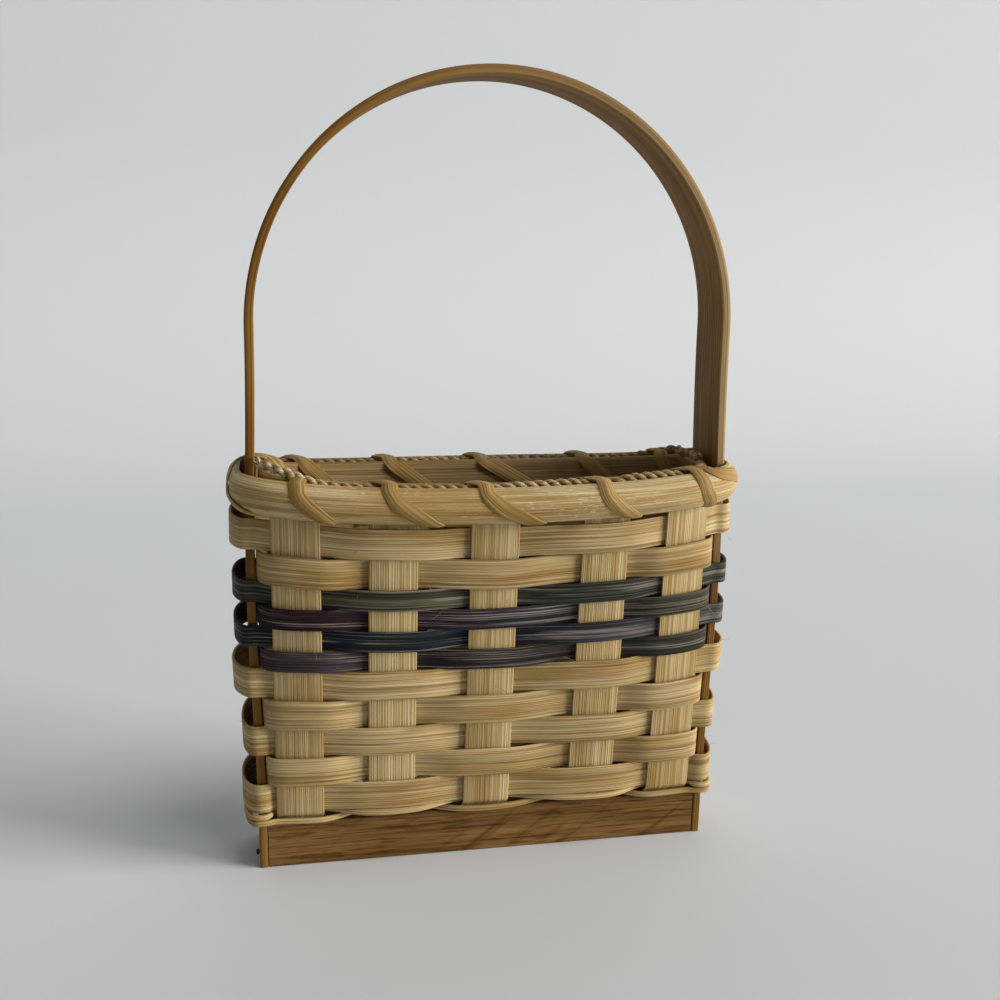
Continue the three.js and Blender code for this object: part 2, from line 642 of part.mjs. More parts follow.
const insideSection = halfSection([-84, -62, -30, 30, 62], 3, insideReach, lashingHalfHeight);
const outsideSection = halfSection([75, 50, 25, 0, -25, -50, -75], 2, outsideReach, lashingHalfHeight);

function lashingTurn(k) {
  const step = dipStep(k);
  const topStep = onward(step, crossStep(k + 1));
  const nextStep = onward(topStep, dipStep(k + 1));
  const below = besideRim(seamLine, step, [0, -lashingHalfHeight], [0, -1]);
  const inside = insideSection.map(({ share, place, lean }) => {
    const here = THREE.MathUtils.lerp(step, topStep, share);
    return besideRim(innerGrip, here, [-place[0], place[1]], [-lean[0], lean[1]]);
  });
  const above = [-1, 1].map((side) =>
    besideRim(seamLine, topStep, [side * shoulderReach, lashingTop], [0, 1]));
  const outside = outsideSection.map(({ share, place, lean }) => {
    const here = THREE.MathUtils.lerp(nextStep, topStep, share);
    const slimmer = OUTER_RIM_THICKNESS - outerThickness(planAt(seamLine, here));
    return besideRim(outerGrip, here, [place[0] * (1 - slimmer / outsideReach), place[1]], lean);
  });
  return [below, ...inside, ...above, ...outside];
}

function lashing() {
  const turns = Array.from({ length: uprightCount }, (_, i) => lashingTurn(backStart + i));
  const points = turns.flat();
  const path = new THREE.CatmullRomCurve3(points.map((p) => p.place), false, 'centripetal');
  const underside = new THREE.CatmullRomCurve3(points.map((p) => p.under), false, 'centripetal');
  const sections = curveSteps(path).map((t) => {
    const place = path.getPoint(t);
    const along = path.getTangent(t);
    const out = place.clone().sub(underside.getPoint(t));
    out.addScaledVector(along, -out.dot(along)).setLength(LASHING_THICKNESS / 2);
    const across = along.clone().cross(out).setLength(LASHING_WIDTH / 2);
    const corner = (u, v) => place.clone().addScaledVector(across, u).addScaledVector(out, v);
    return [corner(-1, -1), corner(1, -1), corner(1, 1), corner(-1, 1)];
  });
  const halfTurnSections = (turns[0].length * STEPS_PER_SPAN) / 2;
  let least = Infinity;
  for (let i = 0; i < sections.length; i++) {
    for (const later of sections.slice(i + halfTurnSections)) {
      for (const p of sections[i]) least = Math.min(least, ...later.map((q) => p.distanceTo(q)));
    }
  }
  console.log(`least gap between the lashing's turns: ${least.toFixed(2)} mm`);
  return loft(sections, false);
}

add('lashing', lashing(), LASHING_REED);

export default group;
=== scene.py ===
# %% [markdown]
# # A wall pocket basket
# This lesson dresses a small basket in Blender: a flat oak base, ten upright reeds, eleven woven rows
# with a dyed band, a lashed rim and a tall bent handle.
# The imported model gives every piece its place, so the lesson starts from it and never moves it.
# Lengths are in millimetres until a mesh is made, because reed is sold and cut in millimetres.

# %% Load the frame
import itertools
import math
from collections import namedtuple
from functools import partial

import bmesh
import bpy
import numpy as np
from mathutils import Matrix, Vector


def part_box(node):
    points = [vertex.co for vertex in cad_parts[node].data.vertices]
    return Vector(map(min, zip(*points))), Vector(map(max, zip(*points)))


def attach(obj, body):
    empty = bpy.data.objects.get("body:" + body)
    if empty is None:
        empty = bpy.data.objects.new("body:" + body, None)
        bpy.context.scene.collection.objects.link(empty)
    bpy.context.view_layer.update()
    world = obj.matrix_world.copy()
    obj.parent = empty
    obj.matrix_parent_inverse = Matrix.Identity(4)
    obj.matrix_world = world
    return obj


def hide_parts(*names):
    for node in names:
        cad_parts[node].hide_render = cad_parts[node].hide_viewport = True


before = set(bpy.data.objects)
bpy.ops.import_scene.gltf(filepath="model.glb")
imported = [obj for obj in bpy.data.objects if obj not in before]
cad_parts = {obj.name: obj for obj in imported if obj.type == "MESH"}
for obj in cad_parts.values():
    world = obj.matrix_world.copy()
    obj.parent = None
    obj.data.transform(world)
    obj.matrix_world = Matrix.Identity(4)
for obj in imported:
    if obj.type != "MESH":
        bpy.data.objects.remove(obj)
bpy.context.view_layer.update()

MM = 0.001
scene = bpy.context.scene

# %% [markdown]
# The camera stands a little to the left of the basket and above its rim, about half a metre away.
# Its place and direction were found by matching the handle and the board, so they are kept as they are.
# The focal length is known in pixels of a square picture, and Blender wants it in millimetres of sensor.

# %% Camera
PICTURE_SIZE = 1000
FOCAL_PIXELS = 1177.5
SENSOR_WIDTH = 36
CAMERA_PLACE = Vector((-85.3, -448.2, 255.0)) * MM
CAMERA_AHEAD = Vector((0.1927, 0.9533, -0.2325))
CAMERA_UP = Vector((0.0264, 0.2316, 0.9725))

camera_data = bpy.data.cameras.new("camera")
camera_data.sensor_width = SENSOR_WIDTH
camera_data.lens = SENSOR_WIDTH * FOCAL_PIXELS / PICTURE_SIZE
camera = bpy.data.objects.new("camera", camera_data)
scene.collection.objects.link(camera)
camera_back = -CAMERA_AHEAD.normalized()
camera_right = CAMERA_UP.cross(camera_back).normalized()
camera_axes = Matrix((camera_right, camera_back.cross(camera_right), camera_back)).transposed()
camera.rotation_mode = "QUATERNION"
camera.rotation_quaternion = camera_axes.to_quaternion()
camera.location = CAMERA_PLACE
scene.camera = camera
print("lens", round(camera_data.lens, 2), "mm")

# %% [markdown]
# Colours are given as sRGB hex values, as a paint chart gives them.
# Blender's shaders work in linear light, so one function turns the one into the other.
# A second small function adds a node with its options, colour stops and inputs, so that every tree below
# reads as a list of steps. It leaves the inputs to a third one, which also serves a material's own shader.
# Further down, "add" is that second function with its tree already chosen.

# %% Helpers for colours and nodes
def linear(hex_colour):
    """Linear RGBA of an sRGB hex value such as "#c9ae7c"."""
    parts = [int(hex_colour[i:i + 2], 16) / 255 for i in (1, 3, 5)]
    return [p / 12.92 if p <= 0.04045 else ((p + 0.055) / 1.055) ** 2.4 for p in parts] + [1]


def fill(node, inputs):
    """Fills or links inputs, given by identifier, name or number, or as a list in the node's own order.

    An input takes a value, a socket, or a node, whose first usable output is meant."""
    for key, value in inputs.items() if isinstance(inputs, dict) else enumerate(inputs):
        found = [s for s in node.inputs if key in (s.identifier, s.name)]
        socket = node.inputs[key] if isinstance(key, int) else found[0]
        if isinstance(value, bpy.types.Node):
            value = next(s for s in value.outputs if s.enabled)
        if isinstance(value, bpy.types.NodeSocket):
            node.id_data.links.new(value, socket)
        else:
            socket.default_value = value


def add_node(tree, kind, inputs=None, stops=(), **options):
    """Adds a node with its options, inputs and colour stops."""
    node = tree.nodes.new(kind)
    for name, value in options.items():
        setattr(node, name, value)
    fill(node, inputs or {})
    for i, (place, colour) in enumerate(stops):
        elements = node.color_ramp.elements
        element = elements[i] if i < len(elements) else elements.new(place)
        element.position = place
        element.color = linear(colour)
    return node


def nodes_of(owner):
    """What adds nodes to the tree of a material or of the world."""
    return partial(add_node, owner.node_tree)


def shader_of(material):
    return material.node_tree.nodes["Principled BSDF"]


def new_finish(name, settings):
    """A material of its own with its shader's inputs set. Wood and reed keep the usual index of 1.5."""
    material = bpy.data.materials.new(name)
    material.use_nodes = True
    fill(shader_of(material), settings)
    return material


print("straw is", [round(x, 3) for x in linear("#c9ae7c")])

# %% [markdown]
# The set is one pale sheet that lies flat under the basket and curves up well behind it, as in a studio.
# A bend in place of a corner leaves no line behind the basket.

# %% Floor and backdrop
FLOOR_COLOUR = "#d2d7db"
PAPER_ROUGHNESS = 0.9
BACKDROP_DISTANCE = 950
BACKDROP_BEND = 350
BACKDROP_HEIGHT = 3000
FLOOR_HALF_WIDTH = 2300
FLOOR_FRONT = -2300
BEND_STEPS = 24

backdrop_line = [(FLOOR_FRONT, 0)]
for i in range(BEND_STEPS + 1):
    angle = math.pi / 2 * i / BEND_STEPS
    run = BACKDROP_DISTANCE + BACKDROP_BEND * (math.sin(angle) - 1)
    backdrop_line.append((run, BACKDROP_BEND * (1 - math.cos(angle))))
backdrop_line.append((BACKDROP_DISTANCE, BACKDROP_HEIGHT))
corners = [(x * MM, y * MM, z * MM) for y, z in backdrop_line
           for x in (-FLOOR_HALF_WIDTH, FLOOR_HALF_WIDTH)]
strips = [(2 * i, 2 * i + 1, 2 * i + 3, 2 * i + 2) for i in range(len(backdrop_line) - 1)]
floor_mesh = bpy.data.meshes.new("floor")
floor_mesh.from_pydata(corners, [], strips)
floor_mesh.polygons.foreach_set("use_smooth", [True] * len(strips))
floor = bpy.data.objects.new("floor", floor_mesh)
scene.collection.objects.link(floor)

# Matt paper: one even pale grey with no shine, so that only the shadow is seen on it.
floor_paper = new_finish("matt studio paper",
                         {"Base Color": linear(FLOOR_COLOUR), "Roughness": PAPER_ROUGHNESS})
floor_mesh.materials.append(floor_paper)
print("set:", floor.name, "in", floor_paper.name)

# %% [markdown]
# One large soft lamp stands at the right front: it models the weave and leaves the inside in shade.
# It is as far off as a window across a hall, so that the sheet is hardly brighter on the lamp's side.
# A second one hangs overhead, and a dim room fills the rest, so that colours come out about as written.
# Where the sheet ends, in views from behind, the room itself is seen, and it is made as pale as the sheet.

# %% Light
WORLD_COLOUR = "#e6eaee"
WORLD_LIGHT = 0.13
WORLD_SEEN = 0.82
LAMP_TARGET = Vector((0, 0, 130)) * MM
Lamp = namedtuple("Lamp", "name place size watts colour")
LAMPS = (
    Lamp("top lamp", (650, -650, 2875), 950, 22, "#fff9f1"),
    Lamp("front lamp", (15480, -5130, 3625), 7800, 4365, "#fffaf3"),
)

world = bpy.data.worlds.new("soft room")
scene.world = world
world.use_nodes = True
add = nodes_of(world)
ray = add("ShaderNodeLightPath").outputs
is_seen = ray["Is Camera Ray"]
for way in ("Is Glossy Ray", "Is Transmission Ray"):
    is_seen = add("ShaderNodeMath", [is_seen, ray[way]], operation="MAXIMUM")
strength = add("ShaderNodeMapRange", {"Value": is_seen, "To Min": WORLD_LIGHT, "To Max": WORLD_SEEN})
fill(world.node_tree.nodes["Background"], {"Color": linear(WORLD_COLOUR), "Strength": strength})

for lamp in LAMPS:
    lamp_data = bpy.data.lights.new(lamp.name, "AREA")
    lamp_data.size = lamp.size * MM
    lamp_data.energy = lamp.watts
    lamp_data.color = linear(lamp.colour)[:3]
    lamp_object = bpy.data.objects.new(lamp.name, lamp_data)
    lamp_object.location = Vector(lamp.place) * MM
    aim = LAMP_TARGET - lamp_object.location
    lamp_object.rotation_euler = aim.to_track_quat("-Z", "Y").to_euler()
    scene.collection.objects.link(lamp_object)
scene.view_settings.view_transform = "Standard"
print("light:", ", ".join(lamp.name for lamp in LAMPS))

# %% [markdown]
# A basket maker thinks in sizes of stock, so those come first.
# Whatever the frame can tell is read from it: the board, the handle's width, the stakes and every row.
# What a box can't say, such as how round the rim is, is written here.

# %% Sizes
CLEARANCE = 0.3
WEAVE_CLEARANCE = 0.45
LAYER_GAP = 0.45
HANDLE_THICKNESS = 3.3
HANDLE_BOW = 2
HANDLE_SPRING = 214.5
GROOVE_INSET = 2.6
STAKE_WIDTH = 18.6
STAKE_THICKNESS = 1
STAKE_COUNT = 5
FLARE_HEIGHT = 5.4
FOOT_OVERHANG = 1.55
RIM_OVERHANG = 13.45
FOOT_SQUARENESS = 12
RIM_SQUARENESS = 3
END_SQUARENESS = 4
SADDLE = 4
FRONT_SADDLE_ROUNDNESS = 2
BACK_SADDLE_ROUNDNESS = 6


def box_mm(node):
    """Lowest and highest corner of a frame piece, in millimetres."""
    low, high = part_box(node)
    return np.array(low) / MM, np.array(high) / MM


board_high = box_mm("base_board")[1]
half_board, board_top = board_high[0], board_high[2]
handle_half_width, handle_top = box_mm("handle")[1][1:]
rim_low = box_mm("outer_rim")[0][2] + SADDLE
rim_high = box_mm("outer_rim")[1][2]
rim_mid = (rim_low + rim_high) / 2
stake_x = [sum(box_mm(f"front_stake_{i + 1}"))[0] / 2 for i in range(STAKE_COUNT)]
print("rim from", round(rim_low, 2), "to", round(rim_high, 2), "stakes at", np.round(stake_x, 1))

# %% [markdown]
# The pocket is flat at its foot, where the stakes come out of the board, and rounder and deeper at the rim.
# Three rules hold that shape: where a leg of the handle stands at a height, how far the wall stands out
# at a place, and how far the rows and the rim sag between the legs.
# Every path below is worked out from them, so the pieces meet without any fitting.

# %% Shape of the pocket
leg_foot_x = half_board + CLEARANCE + HANDLE_THICKNESS / 2
groove_y = handle_half_width - GROOVE_INSET
foot_half_depth = handle_half_width + FOOT_OVERHANG
rim_half_depth = handle_half_width + RIM_OVERHANG


def smoothstep(x, low, high):
    t = np.clip((x - low) / (high - low), 0, 1)
    return t * t * (3 - 2 * t)


def leg_x(z):
    rise = np.clip((z - board_top) / (HANDLE_SPRING - board_top), 0, 1)
    return leg_foot_x + HANDLE_BOW * np.sin(np.pi * rise) ** 2


def climb(z):
    return np.clip((z - board_top) / (rim_low - board_top), 0, 1)


def wall_y(x, z):
    """Half depth of the stakes' middle surface."""
    depth = foot_half_depth + (rim_half_depth - foot_half_depth) * climb(z)
    squareness = RIM_SQUARENESS + (FOOT_SQUARENESS - RIM_SQUARENESS) * (1 - climb(z)) ** 2
    across = np.minimum(np.abs(x) / leg_x(z), 1)
    curved = depth * (1 - across ** squareness) ** (1 / END_SQUARENESS)
    return groove_y + (curved - groove_y) * smoothstep(z, board_top, board_top + FLARE_HEIGHT)


def settled(x, y, z):
    """Height of a place that would be at z beside the legs, after the sag between them."""
    back_share = smoothstep(y, -handle_half_width, handle_half_width)
    roundness = FRONT_SADDLE_ROUNDNESS + (BACK_SADDLE_ROUNDNESS - FRONT_SADDLE_ROUNDNESS) * back_share
    return z - SADDLE * climb(z) * (1 - np.minimum(np.abs(x) / leg_x(z), 1) ** roundness)


def in_space(plan, z):
    """Places in plan as points in space, at z beside the legs and lower between them."""
    return np.column_stack([plan, settled(plan[:, 0], plan[:, 1], z)])


print("half depth", round(foot_half_depth, 1), "mm at the foot,", round(rim_half_depth, 1), "at the rim")

# %% [markdown]
# A row passes twelve uprights: the left leg, five front stakes, the right leg and five back stakes.
# Each upright is described by its place, the way along the row and the way out of the basket.

# %% Uprights
Upright = namedtuple("Upright", "place along out half_width half_thickness is_leg")
UPRIGHT_COUNT = 2 * (STAKE_COUNT + 1)


def leg_upright(side, z):
    place, along, out = np.array([side * leg_x(z), 0]), np.array([0, side]), np.array([side, 0])
    return Upright(place, along, out, handle_half_width, HANDLE_THICKNESS / 2, True)


def stake_upright(x, side, z):
    half = STAKE_THICKNESS / 2
    slope = (wall_y(x + half, z) - wall_y(x - half, z)) / (2 * half)
    along = np.array([-side, -slope]) / math.hypot(1, slope)
    place, out = np.array([x, side * wall_y(x, z)]), np.array([along[1], -along[0]])
    return Upright(place, along, out, STAKE_WIDTH / 2, half, False)


def upright(index, z):
    k = index % UPRIGHT_COUNT
    if k == 0:
        return leg_upright(-1, z)
    if k <= STAKE_COUNT:
        return stake_upright(stake_x[k - 1], -1, z)
    if k == STAKE_COUNT + 1:
        return leg_upright(1, z)
    return stake_upright(stake_x[UPRIGHT_COUNT - 1 - k], 1, z)


def beside(post, along, out):
    return post.place + post.along * along + post.out * out


print(UPRIGHT_COUNT, "uprights, the third at", np.round(upright(3, rim_low).place, 1))

# %% [markdown]
# A strand is a smooth curve through a few chosen points, cut into even steps.
# A centripetal spline is used, because it never loops back on itself where points lie close together.

# %% Smooth paths
SPAN_STEPS = 10
PATH_STEP = 1.5
LEAST_SPAN = 1e-6
HAND_SEED = 23
WAVE_SHARES = np.array([1.0, 0.61, 0.37])


def through(points):
    """Fine points on the centripetal spline through the given ones, as many for every span."""
    p = np.asarray(points, float)
    p = np.vstack([2 * p[0] - p[1], p, 2 * p[-1] - p[-2]])
    knots = np.sqrt(np.maximum(np.linalg.norm(np.diff(p, axis=0), axis=1), LEAST_SPAN))
    t = np.linspace(0, 1, SPAN_STEPS, endpoint=False)[:, None]
    runs = []
    for i in range(1, len(p) - 2):
        a, b, c = knots[i - 1:i + 2]
        start = b * ((p[i] - p[i - 1]) / a - (p[i + 1] - p[i - 1]) / (a + b) + (p[i + 1] - p[i]) / b)
        end = b * ((p[i + 1] - p[i]) / b - (p[i + 2] - p[i]) / (b + c) + (p[i + 2] - p[i + 1]) / c)
        bend = 3 * (p[i + 1] - p[i]) - 2 * start - end
        ease = start + end - 2 * (p[i + 1] - p[i])
        runs.append(p[i] + start * t + bend * t ** 2 + ease * t ** 3)
    return np.vstack(runs + [p[-2:-1]])


def lengths_along(line):
    return np.concatenate([[0], np.cumsum(np.linalg.norm(np.diff(line, axis=0), axis=1))])


def even_steps(line, step, *others):
    """The line cut into even steps, and other values along it cut at the same places."""
    lengths = lengths_along(line)
    places = np.linspace(0, lengths[-1], max(int(round(lengths[-1] / step)), 2) + 1)
    cut = [np.column_stack([np.interp(places, lengths, v) for v in part.T]) for part in (line, *others)]
    return cut if others else cut[0]


def unit(vectors):
    return vectors / np.linalg.norm(vectors, axis=-1, keepdims=True)


def out_of(centre, rise=(0, 0, 1)):
    """The way out of a path at each point, square to its run and to its rise."""
    return unit(np.cross(np.gradient(centre, axis=0), rise))


hand = np.random.default_rng(HAND_SEED)


def wander(count, step, size, wave):
    """A small hand-made waver along a strand, of about the given size and wave length."""
    distance = np.arange(count) * step
    waves = wave * WAVE_SHARES
    phases = hand.uniform(0, 2 * np.pi, len(waves))
    return size * sum(np.sin(2 * np.pi * distance / w + p) for w, p in zip(waves, phases)) / len(waves)


print("a spline through three points has", len(through([(0, 0), (1, 1), (2, 0)])), "points")

# %% [markdown]
# Reed, oak strip, rim stock and cord each have one section that runs along a path.
# A mesh could be lofted by hand for each, but a section drawn with nodes can be used again at any size.
# Four are drawn: a flat strip with eased edges, the same strip hollowed, a half-round and a ring.

# %% Sections
EDGE_CORNERS = 3
CUP_CUTS = 2
ROUND_POINTS = 14
FINE_POINTS = 4
HALF_ROUND_POINTS = 15


def flat_section(add, sizes):
    blank = add("GeometryNodeCurvePrimitiveQuadrilateral",
                {"Width": sizes["Thickness"], "Height": sizes["Width"]})
    return add("GeometryNodeFilletCurve",
               {"Curve": blank, "Radius": sizes["Edge"], "Count": EDGE_CORNERS, "Limit Radius": True},
               mode="POLY")


def cupped_section(add, sizes):
    """A flat strip that hollows towards what it is wound round, on a circle of radius Cup."""
    finer = add("GeometryNodeSubdivideCurve", {"Curve": flat_section(add, sizes), "Cuts": CUP_CUTS})
    place = add("GeometryNodeInputPosition")
    parts = add("ShaderNodeSeparateXYZ", {"Vector": place})
    square = add("ShaderNodeMath", [parts.outputs["Y"], 2.0], operation="POWER")
    double = add("ShaderNodeMath", [sizes["Cup"], -2.0], operation="MULTIPLY")
    drop = add("ShaderNodeMath", [square, double], operation="DIVIDE")
    offset = add("ShaderNodeCombineXYZ", {"X": drop})
    return add("GeometryNodeSetPosition", {"Geometry": finer, "Offset": offset})


def half_round_section(add, sizes):
    arc = add("GeometryNodeCurveArc",
              {"Resolution": HALF_ROUND_POINTS, "Radius": 1.0,
               "Start Angle": -math.pi / 2, "Sweep Angle": math.pi})
    half_height = add("ShaderNodeMath", [sizes["Width"], 0.5], operation="MULTIPLY")
    scale = add("ShaderNodeCombineXYZ", {"X": sizes["Thickness"], "Y": half_height, "Z": 1.0})
    sized = add("GeometryNodeTransform", {"Geometry": arc, "Scale": scale})
    return add("GeometryNodeSetSplineCyclic", {"Geometry": sized, "Cyclic": True})


def ring_section(add, sizes, points):
    """A ring, with few corners where it is for blades and hairs that are repeated."""
    radius = add("ShaderNodeMath", [sizes["Width"], 0.5], operation="MULTIPLY")
    return add("GeometryNodeCurvePrimitiveCircle", {"Resolution": points, "Radius": radius})


print("sections have", HALF_ROUND_POINTS, "points on the half-round and", ROUND_POINTS, "on a cord")

# %% [markdown]
# The trees below differ in the middle and are alike at both ends, so the common parts come first.
# A line of points becomes a curve that faces the way each point says, and at the end the piece gets its
# smooth faces and its finish.
# How far along and across the strand each point lies is stored, because the fibre patterns read it later.

# %% Parts that the trees share
SMOOTH_ANGLE = math.radians(42)


def new_tree(name, sizes):
    """What adds nodes to a new tree, and what the tree is given: a path, sizes, a strand and a finish."""
    tree = bpy.data.node_groups.new(name, "GeometryNodeTree")
    tree.interface.new_socket("Path", in_out="INPUT", socket_type="NodeSocketGeometry")
    for size in (*sizes, "Strand"):
        tree.interface.new_socket(size, in_out="INPUT", socket_type="NodeSocketFloat")
    tree.interface.new_socket("Finish", in_out="INPUT", socket_type="NodeSocketMaterial")
    tree.interface.new_socket("Piece", in_out="OUTPUT", socket_type="NodeSocketGeometry")
    add = partial(add_node, tree)
    return add, add("NodeGroupInput").outputs


def measured_section(add, section):
    """The section with each point's reach out of the path and its place across the strand stored."""
    place = add("GeometryNodeInputPosition")
    parts = add("ShaderNodeSeparateXYZ", {"Vector": place})
    for name, axis in (("reach", "X"), ("across", "Y")):
        section = add("GeometryNodeStoreNamedAttribute",
                      {"Geometry": section, "Name": name, "Value": parts.outputs[axis]})
    return section


def close_tree(add, geometry, given):
    """Smooths the rounds, keeps the sharp edges, and gives the piece its strand number and finish."""
    angle = add("GeometryNodeInputMeshEdgeAngle")
    gentle = add("FunctionNodeCompare", {"A": angle, "B": SMOOTH_ANGLE}, operation="LESS_THAN")
    for domain, is_smooth in (("FACE", True), ("EDGE", gentle)):
        geometry = add("GeometryNodeSetShadeSmooth",
                       {"Geometry": geometry, "Shade Smooth": is_smooth}, domain=domain)
    named = add("GeometryNodeStoreNamedAttribute",
                {"Geometry": geometry, "Name": "strand", "Value": given["Strand"]})
    real = add("GeometryNodeRealizeInstances", {"Geometry": named})
    finished = add("GeometryNodeSetMaterial", {"Geometry": real, "Material": given["Finish"]})
    return add("NodeGroupOutput", {"Piece": finished}).id_data


def faced_curve(add, path):
    """The path as a curve that faces its own "out", with the distance along it stored."""
    line = add("GeometryNodeMeshToCurve", {"Mesh": path})
    facing = add("GeometryNodeInputNamedAttribute", {"Name": "out"}, data_type="FLOAT_VECTOR")
    turned = add("GeometryNodeSetCurveNormal", {"Curve": line, "Normal": facing}, mode="FREE")
    length = add("GeometryNodeSplineParameter")
    measured = add("GeometryNodeStoreNamedAttribute",
                   {"Geometry": turned, "Name": "along", "Value": length.outputs["Length"]})
    return measured, facing


print("edges sharper than", round(math.degrees(SMOOTH_ANGLE)), "degrees stay sharp")

# %% [markdown]
# One kind of tree sweeps any of the sections along a path.
# At each point a section can be larger as a whole, by its "spread", or flatter, by what is "thinned".

# %% Trees that sweep a section along a path
def sweep_tree(name, sizes, draw_section, *options):
    add, given = new_tree(name, sizes)
    curve, facing = faced_curve(add, given["Path"])
    section = measured_section(add, draw_section(add, given, *options))
    spread, reach, thinned = [add("GeometryNodeInputNamedAttribute", {"Name": value})
                              for value in ("spread", "reach", "thinned")]
    scale = add("ShaderNodeMath", [spread, 1.0], operation="ADD")
    strand = add("GeometryNodeCurveToMesh",
                 {"Curve": curve, "Profile Curve": section, "Scale": scale, "Fill Caps": True})
    lost = add("ShaderNodeMath", [reach, thinned], operation="MULTIPLY")
    inward = add("ShaderNodeMath", [lost, -1.0], operation="MULTIPLY")
    move = add("ShaderNodeVectorMath", {0: facing, "Scale": inward}, operation="SCALE")
    pressed = add("GeometryNodeSetPosition", {"Geometry": strand, "Offset": move})
    return close_tree(add, pressed, given)


flat_strip = sweep_tree("flat strip along a path", ["Width", "Thickness", "Edge"], flat_section)
cupped_strip = sweep_tree("cupped strip along a path", ["Width", "Thickness", "Edge", "Cup"],
                          cupped_section)
half_round = sweep_tree("half-round along a path", ["Width", "Thickness"], half_round_section)
round_cord = sweep_tree("round cord along a path", ["Width"], ring_section, ROUND_POINTS)
fine_cord = sweep_tree("fine blade along a path", ["Width"], ring_section, FINE_POINTS)
trees = (flat_strip, cupped_strip, half_round, round_cord, fine_cord)
print("trees:", ", ".join(tree.name for tree in trees))

# %% [markdown]
# A tree needs an object to work on, so each path becomes a mesh of points and edges.
# The modifier's inputs are set first, then the result is made a plain mesh and the modifier goes.

# %% Make a piece from a path
strand_numbers = itertools.count(1)


def path_mesh(name, centre, out, chains, **values):
    """One or more equal lines of points that know which way they face, with other named values."""
    mesh = bpy.data.meshes.new(name)
    edges = [(i, i + 1) for i in range(len(centre) - 1) if (i + 1) % (len(centre) // chains)]
    mesh.from_pydata((np.asarray(centre) * MM).tolist(), edges, [])
    facing = mesh.attributes.new("out", "FLOAT_VECTOR", "POINT")
    facing.data.foreach_set("vector", np.asarray(out, np.float32).ravel())
    for key, value in values.items():
        stored = mesh.attributes.new(key, "FLOAT", "POINT")
        whole = np.ascontiguousarray(np.broadcast_to(value, len(centre)), np.float32)
        stored.data.foreach_set("value", whole)
    return mesh


def made(name, mesh, tree, inputs):
    """The tree's result on a mesh, as a plain mesh object at the origin."""
    piece = bpy.data.objects.new(name, mesh)
    scene.collection.objects.link(piece)
    modifier = piece.modifiers.new(tree.name, "NODES")
    modifier.node_group = tree
    for item in tree.interface.items_tree:
        if item.in_out == "INPUT" and item.name in inputs:
            modifier[item.identifier] = inputs[item.name]
    evaluated = piece.evaluated_get(bpy.context.evaluated_depsgraph_get())
    piece.data = bpy.data.meshes.new_from_object(evaluated)
    piece.data.name = name
    piece.modifiers.clear()
    bpy.data.meshes.remove(mesh)
    return piece


def swept(name, centre, out, tree, finish, thinned=0, spread=0, chains=1, **sizes):
    """A piece with its section swept along a path, sizes in millimetres.

    The section can be thinner, or larger as a whole, by a share at each point."""
    inputs = {key: value * MM for key, value in sizes.items()}
    inputs.update(Strand=float(next(strand_numbers)), Finish=finish)
    return made(name, path_mesh(name, centre, out, chains, thinned=thinned, spread=spread), tree, inputs)


def dress(piece, slot, *nodes):
    """The piece rides on the basket's one body and stands for its frame pieces, where it has any."""
    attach(piece, "root")
    if nodes:
        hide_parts(*nodes)
    return piece


print("pieces are made from paths in steps of", PATH_STEP, "mm")

# %% [markdown]
# Reed is the core of a rattan cane, cut into flat strips.
# Close to, it shows straw-coloured fibres that run along it, dark lines between them where a pore lies
# open, and slow changes of tone. The eye reads it as matt, with pale ridges and hardly any shine.
# Noise would give soft streaks, so cells drawn out along the strand are used: each cell is one fibre with
# a tone of its own, and the cells' borders are the dark lines.
# The pattern reads the stored distances along and across the strand, so it follows every bend.
# Real fibres are taken to be about a quarter of a millimetre wide. They are drawn coarser, so that they
# show.

# %% Fibre patterns
STRAND_SHIFT = (7.3, 3.1, 5.7)
FIBRE_GLOSS = 0.12
LINE_EDGE = 0.22
LINE_DEPTH = 0.1
Share = namedtuple("Share", "value start stop low high", defaults=(0.0, 1.0))


def strand_space(add, length, width):
    """A point's place on its own strand, counted in marks of the given size in millimetres."""
    read = [add("ShaderNodeAttribute", attribute_name=name).outputs["Fac"]
            for name in ("along", "across", "reach", "strand")]
    place = add("ShaderNodeCombineXYZ", dict(zip("XYZ", read)))
    own = add("ShaderNodeVectorMath", {0: STRAND_SHIFT, "Scale": read[3]}, operation="SCALE")
    marks = (1 / (length * MM), 1 / (width * MM), 1 / (width * MM))
    return add("ShaderNodeVectorMath", [place, marks, own], operation="MULTIPLY_ADD")


def strand_clouds(add, *sizes):
    """Soft marks of each given length and width, drawn out along the strand."""
    return [add("ShaderNodeTexNoise", {"Vector": strand_space(add, *size), "Scale": 1.0})
            for size in sizes]


def stain(material, colour, *shares):
    """Lays a colour over a finish as far as all the shares allow.

    A share goes from low to high while its value goes from start to stop."""
    add = nodes_of(material)
    amount = 1.0
    for share in shares:
        part = add("ShaderNodeMapRange",
                   {"Value": share.value, "From Min": share.start, "From Max": share.stop,
                    "To Min": share.low, "To Max": share.high})
        amount = add("ShaderNodeMath", [amount, part], operation="MULTIPLY")
    under = shader_of(material).inputs["Base Color"].links[0].from_node
    layers = {"Factor_Float": amount, "A_Color": under, "B_Color": linear(colour)}
    mixed = add("ShaderNodeMix", layers, data_type="RGBA")
    fill(shader_of(material), {"Base Color": mixed})


